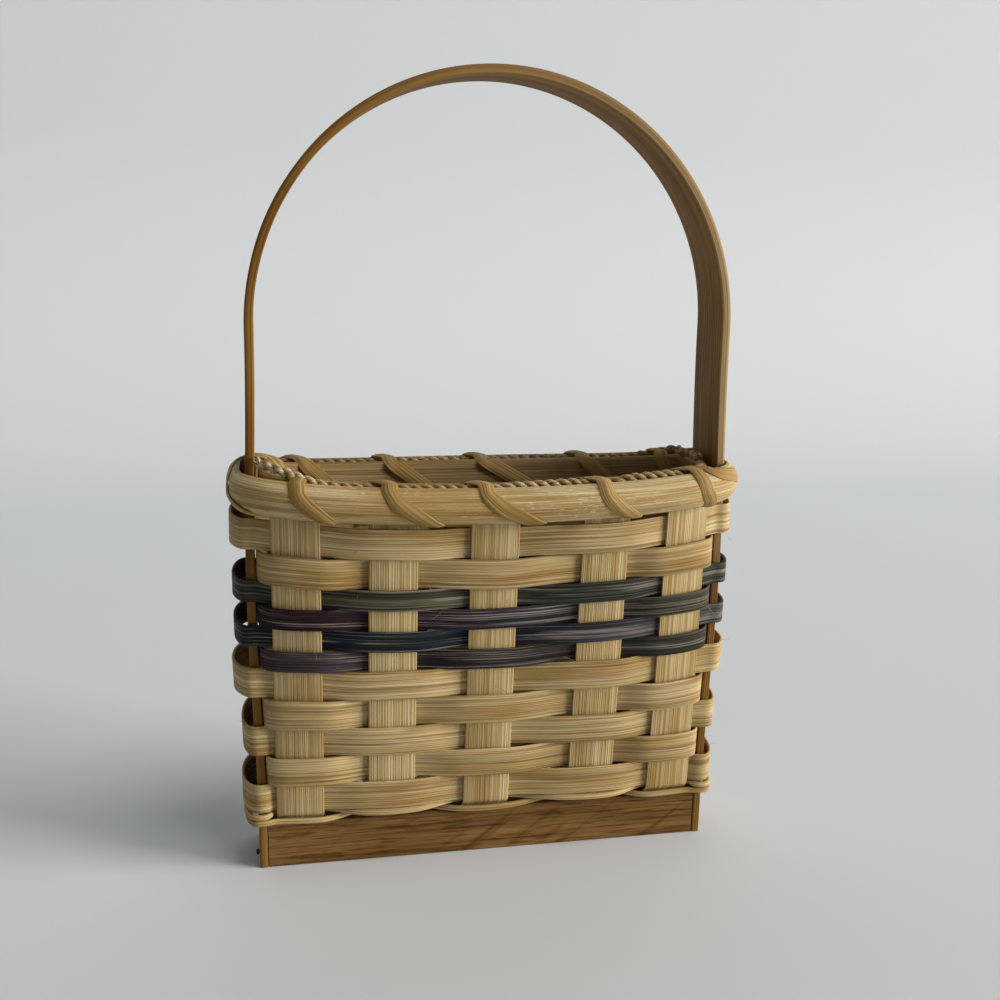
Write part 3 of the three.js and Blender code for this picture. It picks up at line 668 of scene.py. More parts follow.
def ridged_finish(name, roughness, length, width):
    """A matt finish with ridged fibres, each fibre's own number, and the distance to its border."""
    material = new_finish(name, {"Roughness": roughness, "Specular IOR Level": FIBRE_GLOSS})
    add = nodes_of(material)
    cells = {"Vector": strand_space(add, length, width), "Scale": 1.0}
    fibre = add("ShaderNodeTexVoronoi", cells).outputs["Color"]
    border = add("ShaderNodeTexVoronoi", cells, feature="DISTANCE_TO_EDGE")
    relief = add("ShaderNodeMath", [border, LINE_EDGE], operation="MINIMUM")
    bump = add("ShaderNodeBump", {"Height": relief, "Distance": LINE_DEPTH * MM / LINE_EDGE})
    fill(shader_of(material), {"Normal": bump})
    return material, fibre, border


print("lines between fibres are", LINE_DEPTH, "mm deep")

# %% [markdown]
# All natural reed comes from the same cane, so one function makes its finishes, and a few numbers tell them
# apart: how long and wide a fibre is, its three tones, and how strong the dark lines and pale glints are.
# Each pattern has a length and a width in millimetres. A tint of white leaves the colour as it is, and a
# range is written as start, stop, low and high, as in a share.

# %% Reed finishes
STREAKS = (120, 1.7)
PATCHES = (65, 9)
GLINTS = (26, 0.4)
TONE_PLACES = (0.2, 0.5, 0.8)
PATCH_TINTS = ((0.34, "#d8caa9"), (0.58, "#ffffff"))
STREAK_TINTS = ((0.34, "#eae0ca"), (0.54, "#ffffff"))
OPEN_PORES = (0.66, 0.4, 0.35)
GLINT_RANGE = (0.6, 0.72, 0.0)


def fibre_finish(name, roughness, length, width, tones, line, line_share, glint, glint_share):
    """Fibres in three tones, dark to light, with dark lines between them and pale glints on some."""
    material, fibre, border = ridged_finish(name, roughness, length, width)
    add = nodes_of(material)
    streak, patch, glint_place = strand_clouds(add, STREAKS, PATCHES, GLINTS)
    colour = add("ShaderNodeValToRGB", {"Fac": fibre}, zip(TONE_PLACES, tones))
    for cloud, tints in ((patch, PATCH_TINTS), (streak, STREAK_TINTS)):
        tint = add("ShaderNodeValToRGB", {"Fac": cloud}, tints)
        colour = add("ShaderNodeMix", {"Factor_Float": 1.0, "A_Color": colour, "B_Color": tint},
                     data_type="RGBA", blend_type="MULTIPLY")
    fill(shader_of(material), {"Base Color": colour})
    near_border = Share(border, 0.0, LINE_EDGE, line_share, 0.0)
    stain(material, line, near_border, Share(streak, *OPEN_PORES))
    stain(material, glint, Share(glint_place, *GLINT_RANGE, glint_share))
    return material


# Planed from the core, with open pores: crisp brown lines and pale ridges.
natural_reed = fibre_finish(
    "natural flat reed", roughness=0.65, length=190, width=1.0, tones=("#c0a776", "#c8b082", "#d0ba8d"),
    line="#5f4522", line_share=0.68, glint="#e6d9b4", glint_share=0.45)
# Cut straight through the middle of the cane: fine even lines, paler and plainer than the rows.
stake_reed = fibre_finish(
    "flat stake reed", roughness=0.7, length=900, width=0.95, tones=("#c3ad7e", "#c9b486", "#cfbb8f"),
    line="#876c40", line_share=0.6, glint="#e2d5ae", glint_share=0.2)
# The half-round keeps the cane's own round, so its fibres are closer and its face is smoother.
rim_reed = fibre_finish(
    "half-round rim reed", roughness=0.6, length=60, width=0.85, tones=("#c6af80", "#cdb88b", "#d5c397"),
    line="#7d6038", line_share=0.55, glint="#eadfbd", glint_share=0.5)
# Peeled thin and wound wet: darker, browner and a little smoother.
lashing_reed = fibre_finish(
    "thin lashing reed", roughness=0.55, length=110, width=0.85, tones=("#a78a52", "#b0945e", "#ba9f6b"),
    line="#6b5230", line_share=0.6, glint="#cdb98c", glint_share=0.35)
reeds = (natural_reed, stake_reed, rim_reed, lashing_reed)
print("reed finishes:", ", ".join(reed.name for reed in reeds))

# %% [markdown]
# The stakes are the widest reed. Each foot stands in a groove of the board, bends out over its edge
# and climbs with the wall to the rim.

# %% Stakes
STAKE_EDGE = 0.3
STAKE_HEAD_DEPTH = 2.7
FLARE_STEPS = 10
FLARE_EASE = 2
STAKE_STEPS = 60
stake_low = box_mm("front_stake_1")[0][2]
stake_head = rim_high - STAKE_HEAD_DEPTH


def stake_path(x, side):
    flare_top = board_top + FLARE_HEIGHT
    levels = np.concatenate([[stake_low], np.linspace(board_top, flare_top, FLARE_STEPS),
                             np.linspace(flare_top + FLARE_EASE, stake_head, STAKE_STEPS)])
    posts = [stake_upright(x, side, z) for z in levels]
    plan = np.array([post.place for post in posts])
    centre = in_space(plan, levels)
    sideways = np.column_stack([[post.along for post in posts], np.zeros(len(posts))])
    return centre, unit(np.cross(sideways, np.gradient(centre, axis=0)))


for face, side in (("front", -1), ("back", 1)):
    for number, x in enumerate(stake_x, 1):
        name = f"{face}_stake_{number}"
        centre, out = stake_path(x, side)
        piece = swept(f"reed_{name}", centre, out, flat_strip, stake_reed,
                      Width=STAKE_WIDTH, Thickness=STAKE_THICKNESS, Edge=STAKE_EDGE)
        dress(piece, "stake_reed", name)
print("stakes:", 2 * STAKE_COUNT)

# %% [markdown]
# A row goes in front of one upright and behind the next. Odd rows, counted from the top, pass outside
# the legs in loose loops, and even rows pass inside them.
# The lower and the upper edge follow the wall at their own heights, and the strip spans the two.

# %% How a row runs
WEAVER_THICKNESS = 1
LOOP_CROWN = 0.8
ROW_WAVER = 0.35
ROW_WAVE = 90


def passing(post, half, is_outside, loop, layer):
    """Where a strand of the given half thickness passes one upright, as points in plan."""
    stand = post.half_thickness + WEAVE_CLEARANCE + half
    second = layer * (2 * half + LAYER_GAP)
    if not post.is_leg:
        reach = post.half_width + 2 * CLEARANCE
        out = stand + max(second, 0) if is_outside else -stand + min(second, 0)
        return [beside(post, -reach, out), beside(post, reach, out)]
    edge = post.half_width + CLEARANCE + half
    if is_outside:
        crown = stand + loop * LOOP_CROWN
        places = [(-edge - CLEARANCE, -post.half_thickness), (-edge, stand), (-post.half_width / 2, crown)]
    else:
        places = [(-edge, -stand - half), (-post.half_width / 2, -stand)]
    return [beside(post, a, o) for a, o in places] + [beside(post, -a, o) for a, o in reversed(places)]


def row_plan(z, half, outside_parity, loop, first, lap):
    points = []
    for i in range(UPRIGHT_COUNT + lap):
        is_outside = (first + i + outside_parity) % 2 == 0
        layer = (-1 if i < lap else 0) + (1 if i >= UPRIGHT_COUNT else 0)
        points += passing(upright(first + i, z), half, is_outside, loop, layer)
    return through(points)


def row_path(low, high, is_odd, loop, first, lap):
    """Middle line of a flat row and the way that it faces."""
    edges = []
    for z in (low, high):
        plan = row_plan(z, WEAVER_THICKNESS / 2, 0 if is_odd else 1, loop, first, lap)
        edges.append(in_space(plan, z))
    centre, rise = even_steps((edges[0] + edges[1]) / 2, PATH_STEP, edges[1] - edges[0])
    centre[:, 2] += wander(len(centre), PATH_STEP, ROW_WAVER, ROW_WAVE)
    return centre, out_of(centre, rise)


stake_pass = passing(upright(1, rim_low), WEAVER_THICKNESS / 2, True, 0, 0)
print("outside the first front stake a row runs from", np.round(stake_pass[0], 1), "to",
      np.round(stake_pass[1], 1))

# %% [markdown]
# The frame tells how high each row lies. Each starts and ends at the back, where its ends lap past two
# uprights. An odd row's loops at the legs have their own slack, because no two were pulled alike.
# The paths are all worked out here, and the rows are made of them below, in the finish that each one has.

# %% Woven rows
WEAVER_EDGE = 0.3
WEAVER = {"Thickness": WEAVER_THICKNESS, "Edge": WEAVER_EDGE}
NATURAL_WIDTH = 12
DYED_WIDTH = 8.4
ROW_COUNT = 11
DYED_ROWS = (3, 4, 5, 6)
LAP_UPRIGHTS = 2
LOOP_SLACK = {1: 5.2, 3: 4.4, 5: 4.4, 7: 6, 9: 3.7, 11: 5}
BACK_START = STAKE_COUNT + 3
BACK_SPREAD = 0.14

row_paths = {}
row_pieces = {}


def back_spread(centre):
    """How much larger strands are at the back, where they are pressed closer together."""
    return BACK_SPREAD * smoothstep(centre[:, 1], 0, handle_half_width)


def row_width(number):
    return DYED_WIDTH if number in DYED_ROWS else NATURAL_WIDTH


def weave(number, kind, finish, slot):
    """Makes a row from its path and keeps it."""
    node = f"weaver_row_{number:02d}"
    centre, out = row_paths[number]
    piece = swept(f"{kind}_{node}", centre, out, flat_strip, finish, spread=back_spread(centre),
                  Width=row_width(number), **WEAVER)
    row_pieces[number] = dress(piece, slot, node)


for number in range(1, ROW_COUNT + 1):
    is_odd = number % 2 == 1
    high = box_mm(f"weaver_row_{number:02d}")[1][2]
    first = BACK_START + (0 if is_odd else 1)
    loop = LOOP_SLACK.get(number, 0)
    row_paths[number] = row_path(high - row_width(number), high, is_odd, loop, first, LAP_UPRIGHTS)
print("rows:", len(row_paths), "the first", round(lengths_along(row_paths[1][0])[-1]), "mm long")

# %% [markdown]
# The natural rows are plain. A few have a yellow-brown tide mark along the lower edge, where water stood
# when the reed was soaked, so the finish mixes one in near that edge, in places.

# %% Natural rows
TIDE_PLACES = (38, 30)
TIDE_RANGE = (0.57, 0.66)
TIDE_EDGE = (-2.5, -6)
TIDE_SHARE = 0.75
TIDE_COLOUR = "#86652a"

add = nodes_of(natural_reed)
across = add("ShaderNodeAttribute", attribute_name="across").outputs["Fac"]
near_edge = Share(across, TIDE_EDGE[0] * MM, TIDE_EDGE[1] * MM, 0.0, TIDE_SHARE)
stain(natural_reed, TIDE_COLOUR, near_edge, Share(strand_clouds(add, TIDE_PLACES)[0], *TIDE_RANGE))
natural_rows = [number for number in row_paths if number not in DYED_ROWS]
for number in natural_rows:
    weave(number, "reed", natural_reed, "natural_reed")
print("natural rows:", len(natural_rows))

# %% [markdown]
# The four narrow rows were dyed in several colours, so each strand changes colour along its length.
# A colour ramp along the strand gives that. Fine pale grey lines on some fibres, in patches, are painted
# highlights, and other fibres went black, so the eye reads a dark, dry, striped strip with hardly any shine
# from the shader.

# %% Dyed rows
DYES = {
    3: ("olive_reed", ("#37342a", "#454132", "#5c5946", "#3f4037", "#393c34", "#4a483a")),
    4: ("plum_reed", ("#1a0d10", "#2c131f", "#3f2d38", "#3b3540", "#4c473a", "#524838")),
    5: ("navy_reed", ("#141411", "#0e151a", "#1c2830", "#2c2e3b", "#454548", "#575249")),
    6: ("charcoal_reed", ("#392d25", "#43393f", "#1a191c", "#37332f", "#2c2b22", "#383425")),
}
DYED_ROUGHNESS = 0.65
DYED_FIBRES = (60, 0.46)
# Painted highlights: pale grey lines on some fibres, only inside patches of this size.
HIGHLIGHT_PATCHES = (24, 2.6)
PAINTED_HIGHLIGHT = "#b9b1a3"
HIGHLIGHT_RANGE = (0.6, 0.85, 0.0, 0.46)
HIGHLIGHT_PATCH_RANGE = (0.36, 0.6)
DARK_FIBRE = "#0e0d0b"
DARK_RANGE = (0.2, 0.5, 0.8, 0.0)


def dyed_finish(name, colours, start, stop):
    """Reed whose dye changes from one place along the strand to another, in millimetres."""
    material, fibre = ridged_finish(name, DYED_ROUGHNESS, *DYED_FIBRES)[:2]
    add = nodes_of(material)
    along = add("ShaderNodeAttribute", attribute_name="along").outputs["Fac"]
    way = add("ShaderNodeMapRange", {"Value": along, "From Min": start * MM, "From Max": stop * MM})
    dye = add("ShaderNodeValToRGB", {"Fac": way}, zip(np.linspace(0, 1, len(colours)), colours))
    fill(shader_of(material), {"Base Color": dye})
    stain(material, DARK_FIBRE, Share(fibre, *DARK_RANGE))
    # Painted highlights: pale grey lines on the fibres, only where a patch allows them.
    highlight_patches = Share(strand_clouds(add, HIGHLIGHT_PATCHES)[0], *HIGHLIGHT_PATCH_RANGE)
    stain(material, PAINTED_HIGHLIGHT, Share(fibre, *HIGHLIGHT_RANGE), highlight_patches)
    return material


for number, (slot, colours) in DYES.items():
    x = row_paths[number][0][:, 0]
    ends = np.argmin(x) * PATH_STEP, np.argmax(x) * PATH_STEP
    weave(number, "dyed", dyed_finish(f"dyed flat reed, {slot.split('_')[0]}", colours, *ends), slot)
print("dyed rows:", len(DYES))

# %% [markdown]
# Under the lowest row two round reeds are twined: at each stake one passes in front and the other behind,
# and both go round the outside of the legs.

# %% Twining
TWINE_DIAMETER = 2.4
TWINE_LOOP = 3.2
TWINE_BACK_SHARE = 4.2
TWINE_BACK_LIFT = 0.5


def twine_path(z, outside_parity):
    points = []
    half = TWINE_DIAMETER / 2
    for i in range(UPRIGHT_COUNT + 1):
        k = BACK_START + i
        is_outside = k % (STAKE_COUNT + 1) == 0 or (k + outside_parity) % 2 == 0
        points += passing(upright(k, z + (half if is_outside else -half)), half, is_outside, TWINE_LOOP, 0)
    centre = even_steps(in_space(through(points[:-1]), z), PATH_STEP)
    return centre, out_of(centre)


for name, parity in (("twining_lower_strand", 1), ("twining_upper_strand", 0)):
    strand_z = box_mm(name)[1][2] - TWINE_DIAMETER / 2
    centre, out = twine_path(strand_z, parity)
    centre[:, 2] += TWINE_BACK_LIFT * smoothstep(centre[:, 1], 0, handle_half_width)
    piece = swept(f"round_{name}", centre, out, round_cord, natural_reed,
                  spread=TWINE_BACK_SHARE * back_spread(centre), Width=TWINE_DIAMETER)
    dress(piece, "natural_reed", name)
print("twining strands: 2")

# %% [markdown]
# Two rims grip the stakes' heads: a half-round reed outside and a flatter oval one inside.
# Their plan is a squarish oval that clears the legs, worked out first because the seagrass and the lashing
# follow it too.

# %% Plan of the rims
OUTER_RIM_THICKNESS = 6.4
RIM_END_THICKNESS = 4.2
INNER_RIM_THICKNESS = 3.8
INNER_RIM_EDGE = 1.7
RIM_SLACK = 1.25
PLAN_STEPS = 720
RIM_STRIDE = 2
RIM_SEAM = 0.5

rim_grip = STAKE_THICKNESS / 2 + WEAVE_CLEARANCE + WEAVER_THICKNESS + RIM_SLACK
leg_outer_x = leg_x(rim_mid) + HANDLE_THICKNESS / 2 + 2 * CLEARANCE
leg_inner_x = leg_x(rim_mid) - HANDLE_THICKNESS / 2 - WEAVER_THICKNESS - 2 * WEAVE_CLEARANCE
outer_grip_y, inner_grip_y = rim_half_depth + rim_grip, rim_half_depth - rim_grip
leg_corner = (1 - (handle_half_width / outer_grip_y) ** END_SQUARENESS) ** (1 / RIM_SQUARENESS)
outer_grip_x = leg_outer_x / leg_corner


def rim_plan(half_length, half_depth):
    """An even closed plan, counter-clockwise from the right end, without its last point."""
    angle = np.linspace(0, 2 * np.pi, 4 * PLAN_STEPS + 1)
    c, s = np.cos(angle), np.sin(angle)
    x = half_length * np.sign(c) * np.abs(c) ** (2 / RIM_SQUARENESS)
    y = half_depth * np.sign(s) * np.abs(s) ** (2 / END_SQUARENESS)
    line = np.column_stack([x, y])
    lengths = lengths_along(line)
    places = np.linspace(0, lengths[-1], PLAN_STEPS, endpoint=False)
    return np.column_stack([np.interp(places, lengths, line[:, i]) for i in (0, 1)])


def plan_normal(plan):
    """Unit vectors out of a closed counter-clockwise plan."""
    along = np.roll(plan, -1, axis=0) - np.roll(plan, 1, axis=0)
    return unit(np.column_stack([along[:, 1], -along[:, 0]]))


def rim_path(plan, facing):
    """The plan as an open strand whose two ends meet at the left leg."""
    start = int(RIM_SEAM * PLAN_STEPS)
    steps = (np.arange(0, PLAN_STEPS + 1, RIM_STRIDE) + start) % PLAN_STEPS
    out = plan_normal(plan)[steps] * facing
    return in_space(plan[steps], rim_mid), np.column_stack([out, np.zeros(len(out))])


def rim_pressed(y):
    """How much of the half-round's thickness is lost where it bends round the legs."""
    lost = 1 - RIM_END_THICKNESS / OUTER_RIM_THICKNESS
    return lost * (1 - smoothstep(np.abs(y), handle_half_width / 2, outer_grip_y))


outer_grip = rim_plan(outer_grip_x, outer_grip_y)
inner_grip = rim_plan(leg_inner_x, inner_grip_y)
seam_line = rim_plan((outer_grip_x + leg_inner_x) / 2, rim_half_depth)
rim_height = rim_high - rim_low
print("rims", round(2 * outer_grip_x, 1), "mm long,", round(rim_height, 1), "mm high")

# %% [markdown]
# Each rim is one strand round that plan. The outer one is thinner where it was bent round the legs, and
# its face has small torn flecks and open pores, in places.
# The rim row between the two can hardly be seen. It is the last row, and the rims grip it with the stakes.

# %% Rims
FLECKS = (2.6, 0.6)
FLECK_PLACES = (26, 8)
FLECK_SHARE = 0.5
Fleck = namedtuple("Fleck", "colour none full away here")
RIM_FLECKS = (Fleck("#e9dcb8", 0.58, 0.66, 0.5, 0.62), Fleck("#8a6c42", 0.4, 0.34, 0.5, 0.38))

torn, torn_here = strand_clouds(nodes_of(rim_reed), FLECKS, FLECK_PLACES)
for fleck in RIM_FLECKS:
    stain(rim_reed, fleck.colour, Share(torn, fleck.none, fleck.full, 0.0, FLECK_SHARE),
          Share(torn_here, fleck.away, fleck.here))
# The inside rim is the same reed in darker, greyer tones with little contrast: painted shade of the
# basket's inside.
painted_shade_inner_rim_reed = fibre_finish(
    "oval rim reed in painted shade", roughness=0.7, length=90, width=0.8, tones=("#a28b60", "#ac966c", "#b7a178"),
    line="#6d5636", line_share=0.5, glint="#c0ad86", glint_share=0.3)
centre, out = rim_path(outer_grip, 1)
dress(swept("half_round_outer_rim", centre, out, half_round, rim_reed,
            thinned=rim_pressed(centre[:, 1]), Width=rim_height, Thickness=OUTER_RIM_THICKNESS),
      "rim_reed", "outer_rim")
centre, out = rim_path(inner_grip, -1)
centre[:, :2] += out[:, :2] * INNER_RIM_THICKNESS / 2
dress(swept("oval_inner_rim", centre, out, flat_strip, painted_shade_inner_rim_reed,
            Width=rim_height, Thickness=INNER_RIM_THICKNESS, Edge=INNER_RIM_EDGE), "rim_reed", "inner_rim")
rim_row_low, rim_row_high = rim_low + CLEARANCE, stake_head
centre, out = row_path(rim_row_low, rim_row_high, False, 0, BACK_START, 1)
dress(swept("reed_rim_row", centre, out, flat_strip, natural_reed, Width=rim_row_high - rim_row_low,
            **WEAVER), "natural_reed", "rim_row")
print("rim row", round(lengths_along(centre)[-1]), "mm long")

# %% [markdown]
# Seagrass fills the seam on top of the rims. It is a two-ply cord of twisted grass, so a second kind of
# tree doubles the path, winds each copy round it and sweeps a lobed ring along the copies.
# The ring turns as it goes, which lays the fibres of each ply at a slant.

# %% Tree that twists a rope
PLY_COUNT = 2
PLY_LOBES = 8
PLY_GROOVE = 0.84


def rope_tree():
    add, given = new_tree("twisted rope along a path",
                          ["Ply Diameter", "Lay Diameter", "Lay Length", "Fibre Lay Length"])
    curve, facing = faced_curve(add, given["Path"])
    plies = add("GeometryNodeDuplicateElements", {"Geometry": curve, "Amount": PLY_COUNT},
                domain="SPLINE")
    along = add("GeometryNodeSplineParameter").outputs["Length"]
    turns, fibre_turns = [add("ShaderNodeMath", [along, given[lay]], operation="DIVIDE")
                          for lay in ("Lay Length", "Fibre Lay Length")]
    radius, ply_radius = [add("ShaderNodeMath", [given[size], 0.5], operation="MULTIPLY")
                          for size in ("Lay Diameter", "Ply Diameter")]
    ply = plies.outputs["Duplicate Index"]
    phase = add("ShaderNodeMath", [ply, 1 / PLY_COUNT, turns], operation="MULTIPLY_ADD")
    angle = add("ShaderNodeMath", [phase, 2 * math.pi], operation="MULTIPLY")
    tilt = add("ShaderNodeMath", [fibre_turns, -2 * math.pi], operation="MULTIPLY")
    tangent = add("GeometryNodeInputTangent")
    sideways = add("ShaderNodeVectorMath", [tangent, facing], operation="CROSS_PRODUCT")
    moves = []
    for way, wave in ((facing, "COSINE"), (sideways, "SINE")):
        swing = add("ShaderNodeMath", [angle], operation=wave)
        reach = add("ShaderNodeMath", [swing, radius], operation="MULTIPLY")
        moves.append(add("ShaderNodeVectorMath", {0: way, "Scale": reach}, operation="SCALE"))
    offset = add("ShaderNodeVectorMath", [moves[0], moves[1]], operation="ADD")
    wound = add("GeometryNodeSetPosition", {"Geometry": plies, "Offset": offset})
    tilted = add("GeometryNodeSetCurveTilt", {"Curve": wound, "Tilt": tilt})
    ring = add("GeometryNodeCurveStar",
               {"Points": PLY_LOBES, "Inner Radius": PLY_GROOVE, "Outer Radius": 1.0})
    sized = add("GeometryNodeTransform", {"Geometry": ring, "Scale": ply_radius})
    section = measured_section(add, sized)
    twisted = add("GeometryNodeCurveToMesh",
                  {"Curve": tilted, "Profile Curve": section, "Fill Caps": True})
    return close_tree(add, twisted, given)


rope = rope_tree()
# A dried grass blade, twisted: pale tan and matt, with brown lines along the lay.
seagrass_finish = fibre_finish(
    "twisted seagrass", roughness=0.8, length=30, width=0.6, tones=("#b39a70", "#c8b38b", "#d8c5a1"),
    line="#6b5331", line_share=0.55, glint="#e5d6b8", glint_share=0.5)
print("tree:", rope.name, "with", PLY_COUNT, "plies")

# %% [markdown]
# The rope lies in two lengths between the legs. Both sink a little into the seam, and the front one bulges
# between the turns of the lashing. The front length rises at its left end, the back one at its right end,
# where it goes on past the leg along the inner rim.

# %% Seagrass
LASHING_WIDTH = 6
SEAGRASS_DIAMETER = 4.2
PLY_DIAMETER = 2.5
ROPE_SIZES = {"Ply Diameter": PLY_DIAMETER, "Lay Diameter": SEAGRASS_DIAMETER - PLY_DIAMETER,
              "Lay Length": 8.6, "Fibre Lay Length": 6}
SEAGRASS_STEP = 0.5
SEAGRASS_SUNK = 1.3
SEAGRASS_BULGE = 1.4
SEAGRASS_TURN_IN = -6
SEAGRASS_GUIDE = 14
END_RISE_FROM = 0.7
END_LIFTS = {"front": 4.2, "back": 1}
FRONT_SHIFTS = (2, -2, -5, -3, 0.5)

seagrass_stop = handle_half_width + SEAGRASS_DIAMETER / 2 + CLEARANCE
inner_middle = inner_grip - plan_normal(inner_grip) * INNER_RIM_THICKNESS / 2
is_right = inner_middle[:, 0] > 0
is_inside_leg = (inner_middle[:, 1] > SEAGRASS_TURN_IN) & (inner_middle[:, 1] < handle_half_width)
turn_in = inner_middle[is_right & is_inside_leg]
turn_in = turn_in[np.argsort(-turn_in[:, 1])]
rope_paths = {}
for face, side in (("front", -1), ("back", 1)):
    run = seam_line[seam_line[:, 1] * side > seagrass_stop]
    run = run[np.argsort(run[:, 0])][::SEAGRASS_GUIDE]
    if face == "back":
        run = np.vstack([run, turn_in[SEAGRASS_GUIDE // 2::SEAGRASS_GUIDE], turn_in[-1:]])
    run = through(run)
    end_share = smoothstep(run[:, 0] * side, END_RISE_FROM * half_board, half_board)
    from_crossing = np.min(np.abs(run[:, :1] - (np.array(stake_x) + FRONT_SHIFTS)), axis=1)
    free = smoothstep(from_crossing, LASHING_WIDTH / 2, LASHING_WIDTH * 2) * (run[:, 1] < 0)
    bulge = SEAGRASS_BULGE * free * smoothstep(run[:, 0], -half_board / 2, half_board / 2)
    lift = -SEAGRASS_SUNK + bulge + (SEAGRASS_SUNK - bulge + END_LIFTS[face]) * end_share
    line = in_space(run, rim_high)
    line[:, 2] += lift
    centre = even_steps(line, SEAGRASS_STEP)
    piece = swept(f"twisted_{face}_seagrass", centre, out_of(centre), rope, seagrass_finish, **ROPE_SIZES)
    dress(piece, "seagrass", f"{face}_seagrass")
    rope_paths[face] = centre
print("seagrass:", {face: round(lengths_along(path)[-1]) for face, path in rope_paths.items()}, "mm")

# %% [markdown]
# The front length was cut by the left leg, and its grass has sprung open there into a small brush.
# Every blade of the brush is a short bent path, and all of them go through one tree at once.

# %% Frayed end
FRAY_COUNT = 16
FRAY_POINTS = 5
FRAY_LENGTH = 3.4
FRAY_SHORTEST = 0.5
FRAY_WIDTH = 0.7
FRAY_INSET = 1.0
FRAY_SPREAD = 0.55
FRAY_OPENING = 0.55
FRAY_CURL = np.array([0, 0, 0.06])
FRAY_ACROSS = (0, 1, 0.3)
END_POINTS = 3

cut_end = rope_paths["front"][0]
end_way = unit(cut_end - rope_paths["front"][END_POINTS])
brush = []
brush_out = []
for blade in range(FRAY_COUNT):
    start = cut_end - end_way * FRAY_INSET + hand.normal(0, FRAY_SPREAD, 3)
    way = unit(end_way + hand.normal(0, FRAY_OPENING, 3))
    reach = np.linspace(0, FRAY_LENGTH * hand.uniform(FRAY_SHORTEST, 1), FRAY_POINTS)[:, None]
    brush.append(start + way * reach + FRAY_CURL * reach ** 2)
    brush_out.append(np.broadcast_to(unit(np.cross(way, FRAY_ACROSS)), (FRAY_POINTS, 3)))
piece = swept("frayed_seagrass_end", np.vstack(brush), np.vstack(brush_out), fine_cord, seagrass_finish,
              chains=FRAY_COUNT, Width=FRAY_WIDTH)
dress(piece, "seagrass")
print("frayed blades:", FRAY_COUNT)

# %% [markdown]
# One thin reed lashes everything together. It dips under the rims just past each upright, climbs the
# inside, crosses the seagrass over the next stake and falls down the outside, so the turns lean.
# No two turns of handwork are alike, so each has its own shift over the stake, dip past it, drift on the
# way down and sink into the rim. Places are counted in steps along the seam between the rims.

# %% Turns of the lashing
LASHING_THICKNESS = 0.7
LASHING_GAP = 0.3
Turn = namedtuple("Turn", "shift dip drift sink")
PLAIN_TURN = Turn(shift=0, dip=LASHING_WIDTH + LASHING_GAP, drift=1.6, sink=0)
LEFT_LEG_TURN = PLAIN_TURN._replace(drift=0.8)
RIGHT_LEG_TURN = PLAIN_TURN._replace(drift=1.15, sink=0.5)
FRONT_DIPS = (4.5, 6.3, 6.3, 0.7, -3)
FRONT_DRIFTS = (1.7, 1.6, 1.6, 2.2, 2.0)
HAND_TURNS = [Turn(*turn, 0) for turn in zip(FRONT_SHIFTS, FRONT_DIPS, FRONT_DRIFTS)]
seam_step_length = np.linalg.norm(seam_line[1] - seam_line[0])
Place = namedtuple("Place", "place under")


def nearest_step(plan, place):
    return int(np.argmin(np.linalg.norm(plan - place, axis=1)))


def beside_rim(plan, step, reach, height, outward, upward):
    """A place level with a step along the seam, so far out and up from a rim's middle, and one under it."""
    near = nearest_step(plan, seam_line[int(round(step)) % PLAN_STEPS])
    normal = plan_normal(plan)[near]
    plan_place = plan[near] + normal * reach
    place = np.array([*plan_place, settled(*plan_place, rim_mid + height)])
    return Place(place, place - unit(np.array([*(normal * outward), upward])))


def seam_step(k, along):
    return nearest_step(seam_line, beside(upright(k, rim_low), along, 0))


def onward(start, stop):
    return start + (stop - start) % PLAN_STEPS


def turn_over(k):
    """How the turn that crosses an upright lies."""
    number = k % UPRIGHT_COUNT
    if upright(k, rim_low).is_leg:
        return RIGHT_LEG_TURN if number else LEFT_LEG_TURN
    return HAND_TURNS[number - 1] if number <= STAKE_COUNT else PLAIN_TURN


def dip_step(k):
    edge = seam_step(k, upright(k, rim_low).half_width)
    next_edge = onward(edge, seam_step(k + 1, -upright(k + 1, rim_low).half_width))
    return min(edge + turn_over(k).dip / seam_step_length, (edge + next_edge) / 2)


def cross_step(k):
    if upright(k, rim_low).is_leg:
        return dip_step(k - 1)
    return seam_step(k, turn_over(k).shift)


print("turns cross the front stakes", FRONT_SHIFTS, "mm from their middles")

# %% [markdown]
# A turn is a few places round the two rims, joined by a spline. Each place also says which way the strip
# faces, by a second place under it, and a second spline carries that along.

# %% Lashing
LASHING_EDGE = 0.25
LASHING_CUP = 7
LASHING_STEP = 1.0
LASHING_INSIDE_GAP = 1.2
TOP_DRIFT = 3
INSIDE_SQUARENESS = 3
OUTSIDE_SQUARENESS = 2
INSIDE_DEGREES = (-84, -62, -30, 30, 62)
OUTSIDE_DEGREES = (75, 50, 25, 0, -25, -50, -75)
Around = namedtuple("Around", "share reach height lean lean_up")


def half_section(degrees, squareness, reach, height):
    """Places round half a section, each with its share of the way up and the way that it faces."""
    rows = []
    power = 2 / squareness
    for degree in degrees:
        c, s = math.cos(math.radians(degree)), math.sin(math.radians(degree))
        up = math.copysign(abs(s) ** power, s)
        lean_up = math.copysign(abs(s) ** (2 - power), s)
        rows.append(Around((1 + up) / 2, reach * c ** power, height * up,
                           c ** (2 - power) / reach, lean_up / height))
    return rows


lashing_stand = LASHING_GAP + LASHING_THICKNESS / 2
half_height = rim_height / 2 + lashing_stand
inside_reach = INNER_RIM_THICKNESS + LASHING_INSIDE_GAP + LASHING_THICKNESS / 2
outside_reach = OUTER_RIM_THICKNESS + lashing_stand
lashing_top = rim_high - SEAGRASS_SUNK + SEAGRASS_DIAMETER / 2 + lashing_stand - rim_mid
shoulder = SEAGRASS_DIAMETER / 2 - CLEARANCE


